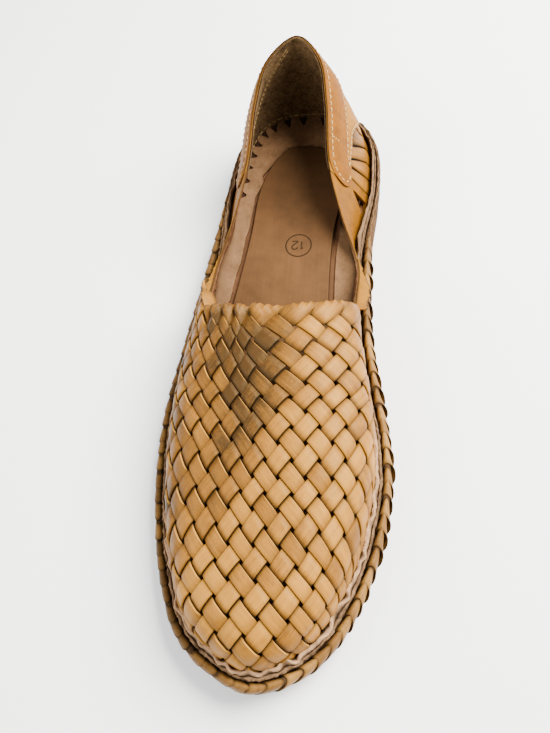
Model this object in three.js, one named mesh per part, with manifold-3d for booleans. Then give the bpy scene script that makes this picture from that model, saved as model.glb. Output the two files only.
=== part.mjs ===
// Right shoe of a pair of hand-woven leather flats, as a three.js scene graph in millimetres.
// The shoe stands on z = 0 with its toe towards -Y, its heel towards +Y and its inner side on +X.
// Lengths along the shoe are counted from the toe end of the sole and called fromToe.
import * as THREE from 'three';
import { mergeVertices } from 'three/addons/utils/BufferGeometryUtils.js';
import Module from 'manifold-3d';

const wasm = await Module();
wasm.setup();

const { clamp, lerp, smoothstep } = THREE.MathUtils;

// ---------------------------------------------------------------- driving sizes
const SOLE_LENGTH = 314;
const GAP = 0.35;
const OUTER = -1;
const INNER = 1;

// Outer edge of the sole, from the toe up the inner side, round the heel and down the outer side.
const OUTLINE = [
  { x: 2.5, fromToe: 0 },
  { x: 21.6, fromToe: 7 },
  { x: 35.2, fromToe: 20 },
  { x: 46.4, fromToe: 42 },
  { x: 53.0, fromToe: 66 },
  { x: 55.6, fromToe: 90 },
  { x: 53.6, fromToe: 114 },
  { x: 48.0, fromToe: 140 },
  { x: 42.8, fromToe: 168 },
  { x: 40.8, fromToe: 200 },
  { x: 41.2, fromToe: 230 },
  { x: 42.8, fromToe: 258 },
  { x: 40.6, fromToe: 284 },
  { x: 31.8, fromToe: 302 },
  { x: 17.0, fromToe: 311.3 },
  { x: 0.5, fromToe: SOLE_LENGTH },
  { x: -16.0, fromToe: 311.3 },
  { x: -30.7, fromToe: 302 },
  { x: -38.9, fromToe: 284 },
  { x: -42.0, fromToe: 258 },
  { x: -44.2, fromToe: 230 },
  { x: -47.8, fromToe: 198 },
  { x: -52.4, fromToe: 164 },
  { x: -56.2, fromToe: 132 },
  { x: -56.4, fromToe: 104 },
  { x: -52.8, fromToe: 74 },
  { x: -45.0, fromToe: 44 },
  { x: -33.2, fromToe: 20 },
  { x: -17.8, fromToe: 7 },
];
const OUTLINE_STEPS = 240;

// Seat: the top of the midsole, which the upper and the insole rest on.
const SEAT_HEIGHT = 11;
const TOE_SPRING = 6;
const TOE_SPRING_LENGTH = 66;
const HEEL_RISE = 6;
const WAIST_START = 134;
const WAIST_END = 232;

// Layers under the seat.
const OUTSOLE_THICKNESS = 5;
const HEEL_BREAST = 237;
const SLAB_STATIONS = 28;

// How far the edge of each layer lies inside the outer edge of the sole. The stitched edge narrows
// round the heel, and everything that stands on it moves out with it.
const OUTSOLE_INSET = 1.2;
const MIDSOLE_INSET = 5.6;
const UPPER_INSET = 9.6;
const INSOLE_MARGIN = 4.4;
const FOOTBED_INSET = 21;
const FOOTBED_HEEL_MARGIN = 5;
const HEEL_EDGE = { narrowing: 0.55, from: 212, to: 250 };
const INSOLE_THICKNESS = 1.6;
const FOOTBED_THICKNESS = 1.4;

// Leather cord stitched over and over round the edge of the sole.
const LACING = {
  halfWidth: 2.5, halfHeight: 4.0, drop: 1.6, stitches: 94, waist: 0.8, slant: 2.6, sides: 4,
};

// Rand: a rough strip that leans on the foot of the upper. At the waist, where the straps lean
// out over it, it lies flat.
const RAND = {
  outerInset: 5.5, innerInset: 8.9, steps: 96, waves: 32, waveHeight: 0.35,
  leaning: { topInset: 8.1, outerHeight: 2.4, innerHeight: 4.6 },
  flat: { topInset: 6.7, outerHeight: 1.5, innerHeight: 2.0 },
  flatBetween: [112, 140, 208, 226],
};

// Vamp, woven over the last. Past the toe station its profile fans out round the toe.
const TOE_STATION = 48;
const CROWN_AT_TOE_STATION = 39;
const CROWN_SLOPE = 0.1;
const CROWN_SHIFT = 2;
const VAMP_SQUARENESS = 2.5;
// The sides of the vamp swell out over the foot line, most on the inner side of the waist.
const VAMP_BULGE = 2.2;
const WAIST_BULGE = { most: 6.2, from: 80, to: 135 };
const VAMP_END = 173.2;
const WALL = 1.7;

// Weave: diamond cells, two families of strips, one over and one under. The pattern is shifted
// and leans a little over towards the outer side.
const CELL_ACROSS = 10.7;
const CELL_ALONG = 13.8;
// Rows of the weave: how far along the vamp each lies, where its middle column is, how far its columns
// stand apart to the outer and the inner side, and how far it bows back at WEAVE_BOW_REACH from the crown.
// Towards the throat the strips draw together at the outer corner and spread at the inner one.
const WEAVE_ROWS = [
  { row: -6, along: -49.3, middle: 13.2, outerPitch: 12.8, innerPitch: 12.8, bow: 0 },
  { row: -3, along: -7.9, middle: 6.4, outerPitch: 11.5, innerPitch: 11.5, bow: 0 },
  { row: -2, along: 5.9, middle: 3.5, outerPitch: 10.6, innerPitch: 10.8, bow: 0.5 },
  { row: -1, along: 20.5, middle: 1.6, outerPitch: 10.3, innerPitch: 11.1, bow: 1.5 },
  { row: 0, along: 34.0, middle: 0.5, outerPitch: 10.1, innerPitch: 11.3, bow: 2.5 },
  { row: 1, along: 48.8, middle: -0.1, outerPitch: 9.8, innerPitch: 11.5, bow: 3.0 },
  { row: 2, along: 62.7, middle: -1.1, outerPitch: 9.8, innerPitch: 12.2, bow: 3.0 },
  { row: 3, along: 75.6, middle: -2.8, outerPitch: 9.0, innerPitch: 13.5, bow: 3.0 },
  { row: 4, along: 89.3, middle: -4.9, outerPitch: 7.8, innerPitch: 14.0, bow: 3.5 },
  { row: 5, along: 102.5, middle: -8.3, outerPitch: 6.7, innerPitch: 13.7, bow: 4.0 },
  { row: 6, along: 116.3, middle: -10.0, outerPitch: 6.4, innerPitch: 13.6, bow: 4.0 },
  { row: 9, along: 157.7, middle: -14.0, outerPitch: 6.4, innerPitch: 13.6, bow: 4.0 },
];
const WEAVE_BOW_REACH = 30;
const WEAVE_COLUMNS_BLEND = 1.5;
const WEAVE_FIRST_ROW = 2.5;
const STRIP_RELIEF = 1.2;
const GROOVE = 0.1;
const FOOT_FADE = { from: 2.5, to: 8 };

// Throat: the back edge of the vamp, bowed back at both corners, with its folded strips as a roll.
const THROAT = {
  fromToe: 158, bow: 7, twist: 3.5, halfWidth: 35.3, lobes: 9, roll: 2.1, lobeDepth: 0.22, steps: 36,
  sides: 5,
};

// Quarters, straps and counter. A row is a station from the outer side's vamp corner, round the
// heel, to the inner side's: a point on the foot of the upper and the point over it on the topline.
const QUARTERS = [
  { side: OUTER, footFromToe: 170, topX: -40.2, topFromToe: 170, topZ: 33 },
  { side: OUTER, footFromToe: 180, topX: -39.2, topFromToe: 180, topZ: 28.5 },
  { side: OUTER, footFromToe: 203, topX: -39.2, topFromToe: 203, topZ: 22.5 },
  { side: OUTER, footFromToe: 226, topX: -31.0, topFromToe: 226, topZ: 34 },
  { side: OUTER, footFromToe: 250, topX: -24.6, topFromToe: 250, topZ: 47 },
  { side: OUTER, footFromToe: 276, topX: -22.0, topFromToe: 276, topZ: 60 },
  { side: OUTER, footFromToe: 298, topX: -15.8, topFromToe: 296, topZ: 70.5 },
  { side: OUTER, footFromToe: 308.6, topX: -1.0, topFromToe: 306, topZ: 76 },
  { side: INNER, footFromToe: 298, topX: 10.5, topFromToe: 296, topZ: 70.5 },
  { side: INNER, footFromToe: 276, topX: 15.0, topFromToe: 276, topZ: 60 },
  { side: INNER, footFromToe: 250, topX: 17.4, topFromToe: 250, topZ: 47 },
  { side: INNER, footFromToe: 226, topX: 25.0, topFromToe: 226, topZ: 34 },
  { side: INNER, footFromToe: 203, topX: 34.6, topFromToe: 203, topZ: 22.5 },
  { side: INNER, footFromToe: 180, topX: 35.8, topFromToe: 180, topZ: 28.5 },
  { side: INNER, footFromToe: 170, topX: 35.6, topFromToe: 170, topZ: 33 },
];
const QUARTER_STEPS = 60;
const QUARTER_BULGE = 1.2;
const HEEL_BULGE = 4.5;
const HEEL_BULGE_FROM = 258;
const HEEL_BULGE_TO = 296;
const VAMP_TUCK = { depth: 0.55, from: 174.5, to: 184 };
const COUNTER_STEP = { depth: 0.8, from: 232, to: 246 };
// Lower edge of the counter: a height round the heel, and a share of the wall at its sides.
const COUNTER_EDGE = { height: 11, sideShare: 0.5, sideTo: 272, heelFrom: 297 };

// Collar band: an overlay of stitched leather along the topline, round at both ends.
const BAND = { width: 17, thickness: 1.2, endFromToe: 243, steps: 38, endLength: 9 };

// Fan of strips under the counter: narrow slits, wide at the top, which lean to the toe at the sides.
const FAN = {
  slits: 17, startFromToe: 250.5, foot: 0.12, footWidth: 0.8, topWidth: 1.8,
  lean: 9, leanBetween: [250, 277, 284, 306],
};

// Slanted gaps between the side strips: where the gap stands on the foot line, its two widths,
// how far its top leans back, and its reach up the wall as a fraction.
const SIDE_GAPS = [
  { side: OUTER, fromToe: 180, footWidth: 5.5, topWidth: 0.8, lean: -4, low: 0.15, high: 0.72 },
  { side: OUTER, fromToe: 191, footWidth: 5.5, topWidth: 0.8, lean: -5, low: 0.15, high: 0.66 },
  { side: OUTER, fromToe: 217, footWidth: 2.5, topWidth: 0.8, lean: 4, low: 0.1, high: 0.45 },
  { side: OUTER, fromToe: 227, footWidth: 3.5, topWidth: 0.8, lean: 5, low: 0.1, high: 0.4 },
  { side: OUTER, fromToe: 240, footWidth: 6.0, topWidth: 1.0, lean: 6, low: 0.1, high: 0.45 },
  { side: INNER, fromToe: 184, footWidth: 4.0, topWidth: 0.8, lean: -4, low: 0.15, high: 0.6 },
  { side: INNER, fromToe: 193, footWidth: 3.0, topWidth: 0.8, lean: -4, low: 0.15, high: 0.55 },
  { side: INNER, fromToe: 239.5, footWidth: 11.0, topWidth: 1.0, lean: 6, low: 0.1, high: 0.44 },
];

// ---------------------------------------------------------------- small tools
const rowY = (fromToe) => fromToe - SOLE_LENGTH / 2;
const place = (x, fromToe, z) => new THREE.Vector3(x, rowY(fromToe), z);
const UP = new THREE.Vector3(0, 0, 1);

function seat(fromToe) {
  const spring = TOE_SPRING * clamp(1 - fromToe / TOE_SPRING_LENGTH, 0, 1.2) ** 2;
  return SEAT_HEIGHT + spring + HEEL_RISE * smoothstep(fromToe, WAIST_START, WAIST_END);
}

// A closed solid through equal rings of points. Open ends are closed by joining the points that
// face each other, counted from the two ends of the ring.
function loft(rings, closed = false) {
  const count = rings[0].length;
  const positions = rings.flat().flatMap((point) => [point.x, point.y, point.z]);
  const index = [];
  const quad = (a, b, c, d) => index.push(a, b, c, a, c, d);
  const spans = closed ? rings.length : rings.length - 1;
  for (let span = 0; span < spans; span += 1) {
    const here = span * count;
    const next = ((span + 1) % rings.length) * count;
    for (let side = 0; side < count; side += 1) {
      const after = (side + 1) % count;
      quad(here + side, here + after, next + after, next + side);
    }
  }
  if (!closed) {
    const last = (rings.length - 1) * count;
    for (let side = 0; side + 1 < count - 1 - side; side += 1) {
      const across = count - 1 - side;
      index.push(side, across, across - 1, last + side, last + across - 1, last + across);
      if (side + 1 < across - 1) {
        index.push(side, across - 1, side + 1, last + side, last + side + 1, last + across - 1);
      }
    }
  }
  return facingOut(positions, index);
}

// A geometry from shared points and triangles, turned so that its faces look outwards.
function facingOut(positions, index) {
  const corner = (k) => new THREE.Vector3().fromArray(positions, 3 * k);
  let volume = 0;
  for (let k = 0; k < index.length; k += 3) {
    volume += corner(index[k]).dot(corner(index[k + 1]).cross(corner(index[k + 2])));
  }
  if (volume < 0) index.reverse();
  const geometry = new THREE.BufferGeometry();
  geometry.setAttribute('position', new THREE.Float32BufferAttribute(positions, 3));
  geometry.setIndex(index);
  return geometry;
}

function toSolid(geometry) {
  const bare = geometry.clone();
  bare.deleteAttribute('normal');
  bare.deleteAttribute('uv');
  const merged = mergeVertices(bare, 1e-4);
  return new wasm.Manifold(new wasm.Mesh({
    numProp: 3,
    vertProperties: new Float32Array(merged.attributes.position.array),
    triVerts: new Uint32Array(merged.index.array),
  }));
}

function toGeometry(solid) {
  const mesh = solid.getMesh();
  const geometry = new THREE.BufferGeometry();
  geometry.setAttribute('position', new THREE.BufferAttribute(new Float32Array(mesh.vertProperties), 3));
  geometry.setIndex(new THREE.BufferAttribute(new Uint32Array(mesh.triVerts), 1));
  return geometry;
}

// ---------------------------------------------------------------- plan of the shoe
const outlineCurve = new THREE.CatmullRomCurve3(
  OUTLINE.map((row) => new THREE.Vector3(row.x, row.fromToe, 0)), true, 'centripetal');

// How wide the stitched edge is at a station, against its width at the forefoot.
const edgeScale = (fromToe) => lerp(1, HEEL_EDGE.narrowing,
  smoothstep(fromToe, HEEL_EDGE.from, HEEL_EDGE.to));

// The sole's outline drawn in by insetAt(fromToe), as evenly spaced points with their directions.
function insetLoop(insetAt, steps = OUTLINE_STEPS) {
  return Array.from({ length: steps }, (_, k) => {
    const point = outlineCurve.getPointAt(k / steps);
    const tangent = outlineCurve.getTangentAt(k / steps);
    const outward = new THREE.Vector2(tangent.y, -tangent.x);
    const inset = insetAt(point.y);
    return {
      x: point.x - inset * outward.x, fromToe: point.y - inset * outward.y, outward,
      tangent: new THREE.Vector2(tangent.x, tangent.y),
    };
  });
}

const outsoleInset = () => OUTSOLE_INSET;
const midsoleInset = (fromToe) => MIDSOLE_INSET * edgeScale(fromToe);
const upperInset = (fromToe) => UPPER_INSET * edgeScale(fromToe);
const insoleInset = (fromToe) => upperInset(fromToe) + INSOLE_MARGIN;
const footbedInset = (fromToe) => FOOTBED_INSET
  + FOOTBED_HEEL_MARGIN * smoothstep(fromToe, HEEL_BREAST, SOLE_LENGTH);

// Where a straight line from a point meets the loop, as a distance.
function reachToLoop(loop, x, fromToe, alongX, alongY) {
  let nearest = Infinity;
  loop.forEach((a, k) => {
    const b = loop[(k + 1) % loop.length];
    const edgeX = b.x - a.x;
    const edgeY = b.fromToe - a.fromToe;
    const cross = alongX * edgeY - alongY * edgeX;
    if (Math.abs(cross) < 1e-9) return;
    const distance = ((a.x - x) * edgeY - (a.fromToe - fromToe) * edgeX) / cross;
    const share = ((a.x - x) * alongY - (a.fromToe - fromToe) * alongX) / cross;
    if (share >= 0 && share <= 1 && distance > 0) nearest = Math.min(nearest, distance);
  });
  return nearest;
}

// The loop's outermost and innermost x at a station.
function sidesOf(loop, fromToe) {
  const crossings = loop.flatMap((a, k) => {
    const b = loop[(k + 1) % loop.length];
    if ((a.fromToe - fromToe) * (b.fromToe - fromToe) > 0 || a.fromToe === b.fromToe) return [];
    return [lerp(a.x, b.x, (fromToe - a.fromToe) / (b.fromToe - a.fromToe))];
  });
  return { fromToe, left: Math.min(...crossings), right: Math.max(...crossings) };
}

// Both sides of a loop at stations from its toe end, or from a cut across it, to its heel end.
// The stations crowd together where the loop closes.
function ladder(loop, stations, cut) {
  const lengths = loop.map((point) => point.fromToe);
  const closing = 0.4;
  const last = Math.max(...lengths) - closing;
  const first = cut ?? Math.min(...lengths) + closing;
  const ease = (share) => (cut
    ? Math.sin((Math.PI / 2) * share)
    : 0.5 - 0.5 * Math.cos(Math.PI * share));
  return Array.from({ length: stations + 1 }, (_, k) => (
    sidesOf(loop, lerp(first, last, ease(k / stations)))));
}

// ---------------------------------------------------------------- sole layers
// A layer between two heights, given as functions of fromToe.
function slab(insetAt, low, high, stations = SLAB_STATIONS, cut = null) {
  return loft(ladder(insetLoop(insetAt), stations, cut).map(({ fromToe, left, right }) => [
    place(left, fromToe, low(fromToe)),
    place(right, fromToe, low(fromToe)),
    place(right, fromToe, high(fromToe)),
    place(left, fromToe, high(fromToe)),
  ]));
}

const ground = (fromToe) => seat(fromToe) - SEAT_HEIGHT;
const outsoleTop = (fromToe) => ground(fromToe) + OUTSOLE_THICKNESS;
const insoleTop = (fromToe) => seat(fromToe) + GAP + INSOLE_THICKNESS;

const makeOutsole = () => slab(outsoleInset, ground, outsoleTop);
const makeMidsole = () => slab(midsoleInset, (d) => outsoleTop(d) + GAP, seat);
const makeInsole = () => slab(insoleInset, (d) => seat(d) + GAP, insoleTop);
const makeFootbed = () => slab(
  footbedInset, (d) => insoleTop(d) + GAP, (d) => insoleTop(d) + GAP + FOOTBED_THICKNESS);
const makeHeel = () => slab(
  outsoleInset, () => 0, () => HEEL_RISE - GAP, SLAB_STATIONS / 2, HEEL_BREAST);

// The cord swells in each stitch, sinks between two, and its stitches lean along the edge.
function makeLacing() {
  const loop = insetLoop((fromToe) => LACING.halfWidth * edgeScale(fromToe), 2 * LACING.stitches);
  return loft(loop.map((point, k) => {
    const swell = k % 2 ? 1 : LACING.waist;
    return Array.from({ length: LACING.sides }, (_, side) => {
      const angle = (2 * Math.PI * (side + 0.5)) / LACING.sides;
      const out = LACING.halfWidth * edgeScale(point.fromToe) * swell * Math.cos(angle);
      const along = LACING.slant * Math.sin(angle);
      const up = LACING.halfHeight * swell * Math.sin(angle) - LACING.drop;
      return place(
        point.x + point.outward.x * out + point.tangent.x * along,
        point.fromToe + point.outward.y * out + point.tangent.y * along, seat(point.fromToe) + up);
    });
  }), true);
}

function makeRand() {
  return loft(insetLoop(() => 0, RAND.steps).map((point, k) => {
    const wave = RAND.waveHeight * Math.sin((2 * Math.PI * RAND.waves * k) / RAND.steps);
    const scale = edgeScale(point.fromToe);
    const [fallFrom, flatFrom, flatTo, riseTo] = RAND.flatBetween;
    const flat = smoothstep(point.fromToe, fallFrom, flatFrom)
      - smoothstep(point.fromToe, flatTo, riseTo);
    const size = (key) => lerp(RAND.leaning[key], RAND.flat[key], flat);
    const at = (inset, height) => place(
      point.x - point.outward.x * inset * scale, point.fromToe - point.outward.y * inset * scale,
      seat(point.fromToe) + height);
    return [
      at(RAND.outerInset, GAP), at(RAND.outerInset, size('outerHeight')),
      at(size('topInset'), size('innerHeight') + wave), at(RAND.innerInset, GAP),
    ];
  }), true);
}

// ---------------------------------------------------------------- the last
const footLoop = insetLoop(upperInset);
const crownHeight = (fromToe) => CROWN_AT_TOE_STATION + CROWN_SLOPE * (fromToe - TOE_STATION);

function crownX(fromToe) {
  const { left, right } = sidesOf(footLoop, fromToe);
  return (left + right) / 2 + CROWN_SHIFT;
}

// Brings the largest value of share squared times (1 - share) to one.
const BULGE_NORM = 6.75;

const sideBulge = (side, fromToe) => (side === OUTER ? VAMP_BULGE
  : lerp(VAMP_BULGE, WAIST_BULGE.most, smoothstep(fromToe, WAIST_BULGE.from, WAIST_BULGE.to)));

// A quarter of a rounded square from the crown down to the foot, by length along it. Past the
// foot it runs straight down. It returns how far out, how far up, and the length left to the foot.
function archPoint(reach, rise, length, bulge = VAMP_BULGE) {
  const steps = 28;
  const power = 2 / VAMP_SQUARENESS;
  const at = (k) => {
    const turn = (Math.PI / 2) * (k / steps);
    const up = rise * Math.cos(turn) ** power;
    const share = up / rise;
    const swell = bulge * BULGE_NORM * share ** 2 * (1 - share);
    return { out: reach * Math.sin(turn) ** power + swell, up };
  };
  let travelled = 0;
  let before = at(0);
  for (let k = 1; k <= steps; k += 1) {
    const here = at(k);
    const step = Math.hypot(here.out - before.out, here.up - before.up);
    if (travelled + step >= length) {
      const share = (length - travelled) / step;
      const left = arcLeft(at, k, steps, here, step * (1 - share));
      return { out: lerp(before.out, here.out, share), up: lerp(before.up, here.up, share), left };
    }
    travelled += step;
    before = here;
  }
  return { out: reach, up: travelled - length, left: travelled - length };
}

function arcLeft(at, k, steps, here, started) {
  let total = started;
  let before = here;
  for (let j = k + 1; j <= steps; j += 1) {
    const next = at(j);
    total += Math.hypot(next.out - before.out, next.up - before.up);
    before = next;
  }
  return total;
}

// From the flat pattern of the vamp to the last. across runs to the inner side and along runs to
// the heel, both in mm of leather, from the crown at the toe station.
function vampPoint(across, along) {
  if (along >= 0) {
    const fromToe = TOE_STATION + along / Math.hypot(1, CROWN_SLOPE);
    const x = crownX(fromToe);
    const side = across < 0 ? OUTER : INNER;
    const reach = reachToLoop(footLoop, x, fromToe, side, 0);
    const rise = crownHeight(fromToe) - seat(fromToe);
    const arch = archPoint(reach, rise, Math.abs(across), sideBulge(side, fromToe));
    return { point: place(x + side * arch.out, fromToe, seat(fromToe) + arch.up), left: arch.left };
  }
  const length = Math.hypot(across, along);
  const x = crownX(TOE_STATION);
  const reach = reachToLoop(footLoop, x, TOE_STATION, across / length, along / length);
  const footFromToe = TOE_STATION + (reach * along) / length;
  const arch = archPoint(reach, CROWN_AT_TOE_STATION - seat(footFromToe), length);
  const fromToe = TOE_STATION + (arch.out * along) / length;
  return {
    point: place(x + (arch.out * across) / length, fromToe, seat(footFromToe) + arch.up),
    left: arch.left,
  };
}

function vampFrame(across, along) {
  const nudge = 0.8;
  const { point, left } = vampPoint(across, along);
  const tangentAcross = vampPoint(across + nudge, along).point.sub(vampPoint(across - nudge, along).point);
  const tangentAlong = vampPoint(across, along + nudge).point.sub(vampPoint(across, along - nudge).point);
  return { point, left, normal: tangentAcross.cross(tangentAlong).normalize() };
}

// ---------------------------------------------------------------- woven vamp
// Where the weave's lattice lies in the vamp's flat pattern.
function patternAt(i, j) {
  const row = (i + j) / 2 - WEAVE_FIRST_ROW;
  const column = (i - j) / 2;
  const from = clamp(WEAVE_ROWS.findLastIndex((entry) => entry.row <= row), 0, WEAVE_ROWS.length - 2);
  const [before, after] = [WEAVE_ROWS[from], WEAVE_ROWS[from + 1]];
  const share = (row - before.row) / (after.row - before.row);
  const at = (name) => lerp(before[name], after[name], share);
  const inward = smoothstep(column, -WEAVE_COLUMNS_BLEND, WEAVE_COLUMNS_BLEND);
  const across = at('middle') + column * lerp(at('outerPitch'), at('innerPitch'), inward);
  return [across, at('along') + at('bow') * (across / WEAVE_BOW_REACH) ** 2];
}

// The vamp's wall, with diamond cells. Lines of constant i and j bound the two families of
// strips. A cell whose i + j is odd shows the strip that runs along i.
function makeWeave() {
  const positions = [];
  const index = [];
  const cache = new Map();
  const vertex = (key, i, j, height) => {
    const name = `${key}:${i}:${j}`;
    if (!cache.has(name)) {
      const { point, normal, left } = vampFrame(...patternAt(i, j));
      const fade = height > 0 ? smoothstep(left, FOOT_FADE.from, FOOT_FADE.to) : 1;
      point.addScaledVector(normal, height * fade);
      cache.set(name, positions.push(point.x, point.y, point.z) / 3 - 1);
    }
    return cache.get(name);
  };
  const outerCorner = (i, j) => vertex('corner', i, j, -GROOVE);
  const innerCorner = (i, j) => vertex('inner', i, j, -WALL);
  const high = (i, j) => vertex('high', i, j, STRIP_RELIEF);
  const low = (i, j) => vertex('low', i, j, -GROOVE);

  const reachOut = CELL_ACROSS * 0.9;
  const lastAlong = (VAMP_END - TOE_STATION) * Math.hypot(1, CROWN_SLOPE) + CELL_ALONG * 0.6;
  const cells = new Set();
  for (let i = -20; i <= 40; i += 1) {
    for (let j = -20; j <= 40; j += 1) {
      const [across, along] = patternAt(i + 0.5, j + 0.5);
      if (along > lastAlong) continue;
      if (vampPoint(across, along).left > -reachOut) cells.add(`${i},${j}`);
    }
  }

  cells.forEach((name) => {
    const [i, j] = name.split(',').map(Number);
    const alongI = (i + j) % 2 !== 0;
    const corners = [[i, j], [i + 1, j], [i + 1, j + 1], [i, j + 1]];
    const neighbours = [[i, j - 1], [i + 1, j], [i, j + 1], [i - 1, j]];
    const edges = corners.map((from, k) => {
      const to = corners[(k + 1) % 4];
      const mid = [(from[0] + to[0]) / 2, (from[1] + to[1]) / 2];
      const shared = cells.has(neighbours[k].join(','));
      const sideOfStrip = (k % 2 === 0) === alongI;
      const raised = vampPoint(...patternAt(...mid)).left > FOOT_FADE.from;
      const edge = raised && (sideOfStrip || !shared) ? high(...mid) : low(...mid);
      if (shared && raised && sideOfStrip) {
        index.push(outerCorner(...to), edge, low(...mid));
        index.push(low(...mid), edge, outerCorner(...from));
      }
      if (!shared) {
        const [a, b] = [outerCorner(...from), outerCorner(...to)];
        const [innerA, innerB] = [innerCorner(...from), innerCorner(...to)];
        index.push(a, innerA, edge, edge, innerA, innerB, edge, innerB, b);
      }
      return edge;
    });
    // The strip arches from one end of the cell to the other, with a ridge across its width.
    const first = alongI ? 0 : 1;
    const ridge = [edges[first], edges[first + 2]];
    [1, 3].forEach((turn, half) => {
      const start = outerCorner(...corners[(first + turn) % 4]);
      const finish = outerCorner(...corners[(first + turn + 1) % 4]);
      const end = edges[(first + turn) % 4];
      const [a, b] = half ? [ridge[1], ridge[0]] : ridge;
      index.push(a, start, end, a, end, b, b, end, finish);
    });
    const [p, q, r, s] = corners.map(([ci, cj]) => innerCorner(ci, cj));
    index.push(p, r, q, p, s, r);
  });
  return facingOut(positions, index);
}

// A block right across the shoe, between the stations given, from low(fromToe) up.
function acrossShoe(stations, low) {
  const halfWidth = 80;
  const top = 120;
  return loft(stations.map((fromToe) => [
    place(-halfWidth, fromToe, low(fromToe)), place(halfWidth, fromToe, low(fromToe)),
    place(halfWidth, fromToe, top), place(-halfWidth, fromToe, top),
  ]));
}

// Everything above the seat, to keep.
const aboveSeat = () => acrossShoe(
  [-20, 0, 12, 24, 36, 48, 60, 134, 146, 158, 172, 184, 194, 208, 220, 232, 340],
  (fromToe) => seat(fromToe) + GAP);

// The space behind the last cells of the vamp, to cut away.
const behindVamp = () => acrossShoe([VAMP_END, 240], () => -40);

const throatFromToe = (x) => THROAT.fromToe + THROAT.bow * (x / THROAT.halfWidth) ** 2
  + (THROAT.twist * x) / THROAT.halfWidth;

// The space behind the throat's edge, to cut away.
function behindThroat() {
  const steps = 12;
  const back = 240;
  return loft(Array.from({ length: steps + 1 }, (_, k) => {
    const x = lerp(-THROAT.halfWidth, THROAT.halfWidth, k / steps);
    return [
      place(x, throatFromToe(x), 0), place(x, back, 0), place(x, back, 120), place(x, throatFromToe(x), 120),
    ];
  }));
}

// The point on the vamp at a place in plan, a little under its surface. It walks out from the
// crown, because the vamp's sides lean back in below their widest place.
function vampUnder(x, fromToe, depth) {
  const centre = crownX(fromToe);
  const side = x < centre ? OUTER : INNER;
  const along = (fromToe - TOE_STATION) * Math.hypot(1, CROWN_SLOPE);
  const step = 0.25;
  const furthest = 70;
  let length = 0;
  while (length < furthest && side * (vampPoint(side * length, along).point.x - x) < 0) length += step;
  const { point, normal } = vampFrame(side * length, along);
  return { point: point.addScaledVector(normal, -depth), normal };
}

// The strips folded back round the throat's edge, as a roll with lobes.
function makeThroatRoll() {
  const stations = Array.from({ length: THROAT.steps + 1 }, (_, k) => {
    const x = lerp(-THROAT.halfWidth, THROAT.halfWidth, k / THROAT.steps);
    return vampUnder(x, throatFromToe(x), 0.4);
  });
  return loft(stations.map(({ point, normal }, k) => {
    const before = stations[Math.max(k - 1, 0)].point;
    const after = stations[Math.min(k + 1, THROAT.steps)].point;
    const tangent = after.clone().sub(before).normalize();
    const back = new THREE.Vector3().crossVectors(normal, tangent).normalize();
    const lobe = Math.abs(Math.sin((Math.PI * THROAT.lobes * k) / THROAT.steps));
    const radius = THROAT.roll * (1 - THROAT.lobeDepth + THROAT.lobeDepth * lobe);
    return Array.from({ length: THROAT.sides }, (_, side) => {
      const angle = (2 * Math.PI * (side + 0.5)) / THROAT.sides;
      return point.clone()
        .addScaledVector(normal, radius * 0.9 * Math.sin(angle))
        .addScaledVector(back, radius * Math.cos(angle));
    });
  }));
}

// ---------------------------------------------------------------- quarters and counter
const topCurve = new THREE.CatmullRomCurve3(
  QUARTERS.map((row) => place(row.topX, row.topFromToe, row.topZ)), false, 'centripetal');

// Each row's place along the foot loop, counted in steps of the loop.
const footSteps = QUARTERS.map((row) => {
  let best = 0;
  footLoop.forEach((point, k) => {
    const error = Math.abs(point.fromToe - row.footFromToe) + (Math.sign(point.x) === row.side ? 0 : 1e3);
    const bestPoint = footLoop[best];
    const bestError = Math.abs(bestPoint.fromToe - row.footFromToe)
      + (Math.sign(bestPoint.x) === row.side ? 0 : 1e3);
    if (error < bestError) best = k;
  });
  return best;
});

// u runs over the rows from 0 to 1.
function footPoint(u) {
  const place01 = clamp(u, 0, 1) * (QUARTERS.length - 1);
  const row = Math.min(Math.floor(place01), QUARTERS.length - 2);
  const step = lerp(footSteps[row], footSteps[row + 1], place01 - row);
  const before = footLoop[Math.floor(step) % OUTLINE_STEPS];
  const after = footLoop[Math.ceil(step) % OUTLINE_STEPS];
  const share = step - Math.floor(step);
  const fromToe = lerp(before.fromToe, after.fromToe, share);
  return {
    point: place(lerp(before.x, after.x, share), fromToe, seat(fromToe) + GAP),
    outward: new THREE.Vector3(before.outward.x, before.outward.y, 0),
  };
}

// A point on the quarter's wall. h runs from the foot, 0, to the topline, 1.
function wallPoint(u, h) {
  const foot = footPoint(u);
  const top = topCurve.getPoint(clamp(u, 0, 1));
  const heel = smoothstep(foot.point.y, rowY(HEEL_BULGE_FROM), rowY(HEEL_BULGE_TO));
  const bulge = lerp(QUARTER_BULGE, HEEL_BULGE, heel);
  const middle = foot.point.clone().lerp(top, 0.5).addScaledVector(foot.outward, bulge);
  const curve = new THREE.QuadraticBezierCurve3(foot.point, middle, top);
  return curve.getPoint(h);
}

function wallNormal(u, h) {
  const nudge = 0.004;
  const along = wallPoint(u + nudge, h).sub(wallPoint(u - nudge, h));
  const up = wallPoint(u, h + 0.02).sub(wallPoint(u, h - 0.02));
  return up.cross(along).normalize();
}

const wallOffset = (u, h, offset) => wallPoint(u, h).addScaledVector(wallNormal(u, h), offset);
const wallHeight = (u) => wallPoint(u, 1).distanceTo(wallPoint(u, 0));

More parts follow.
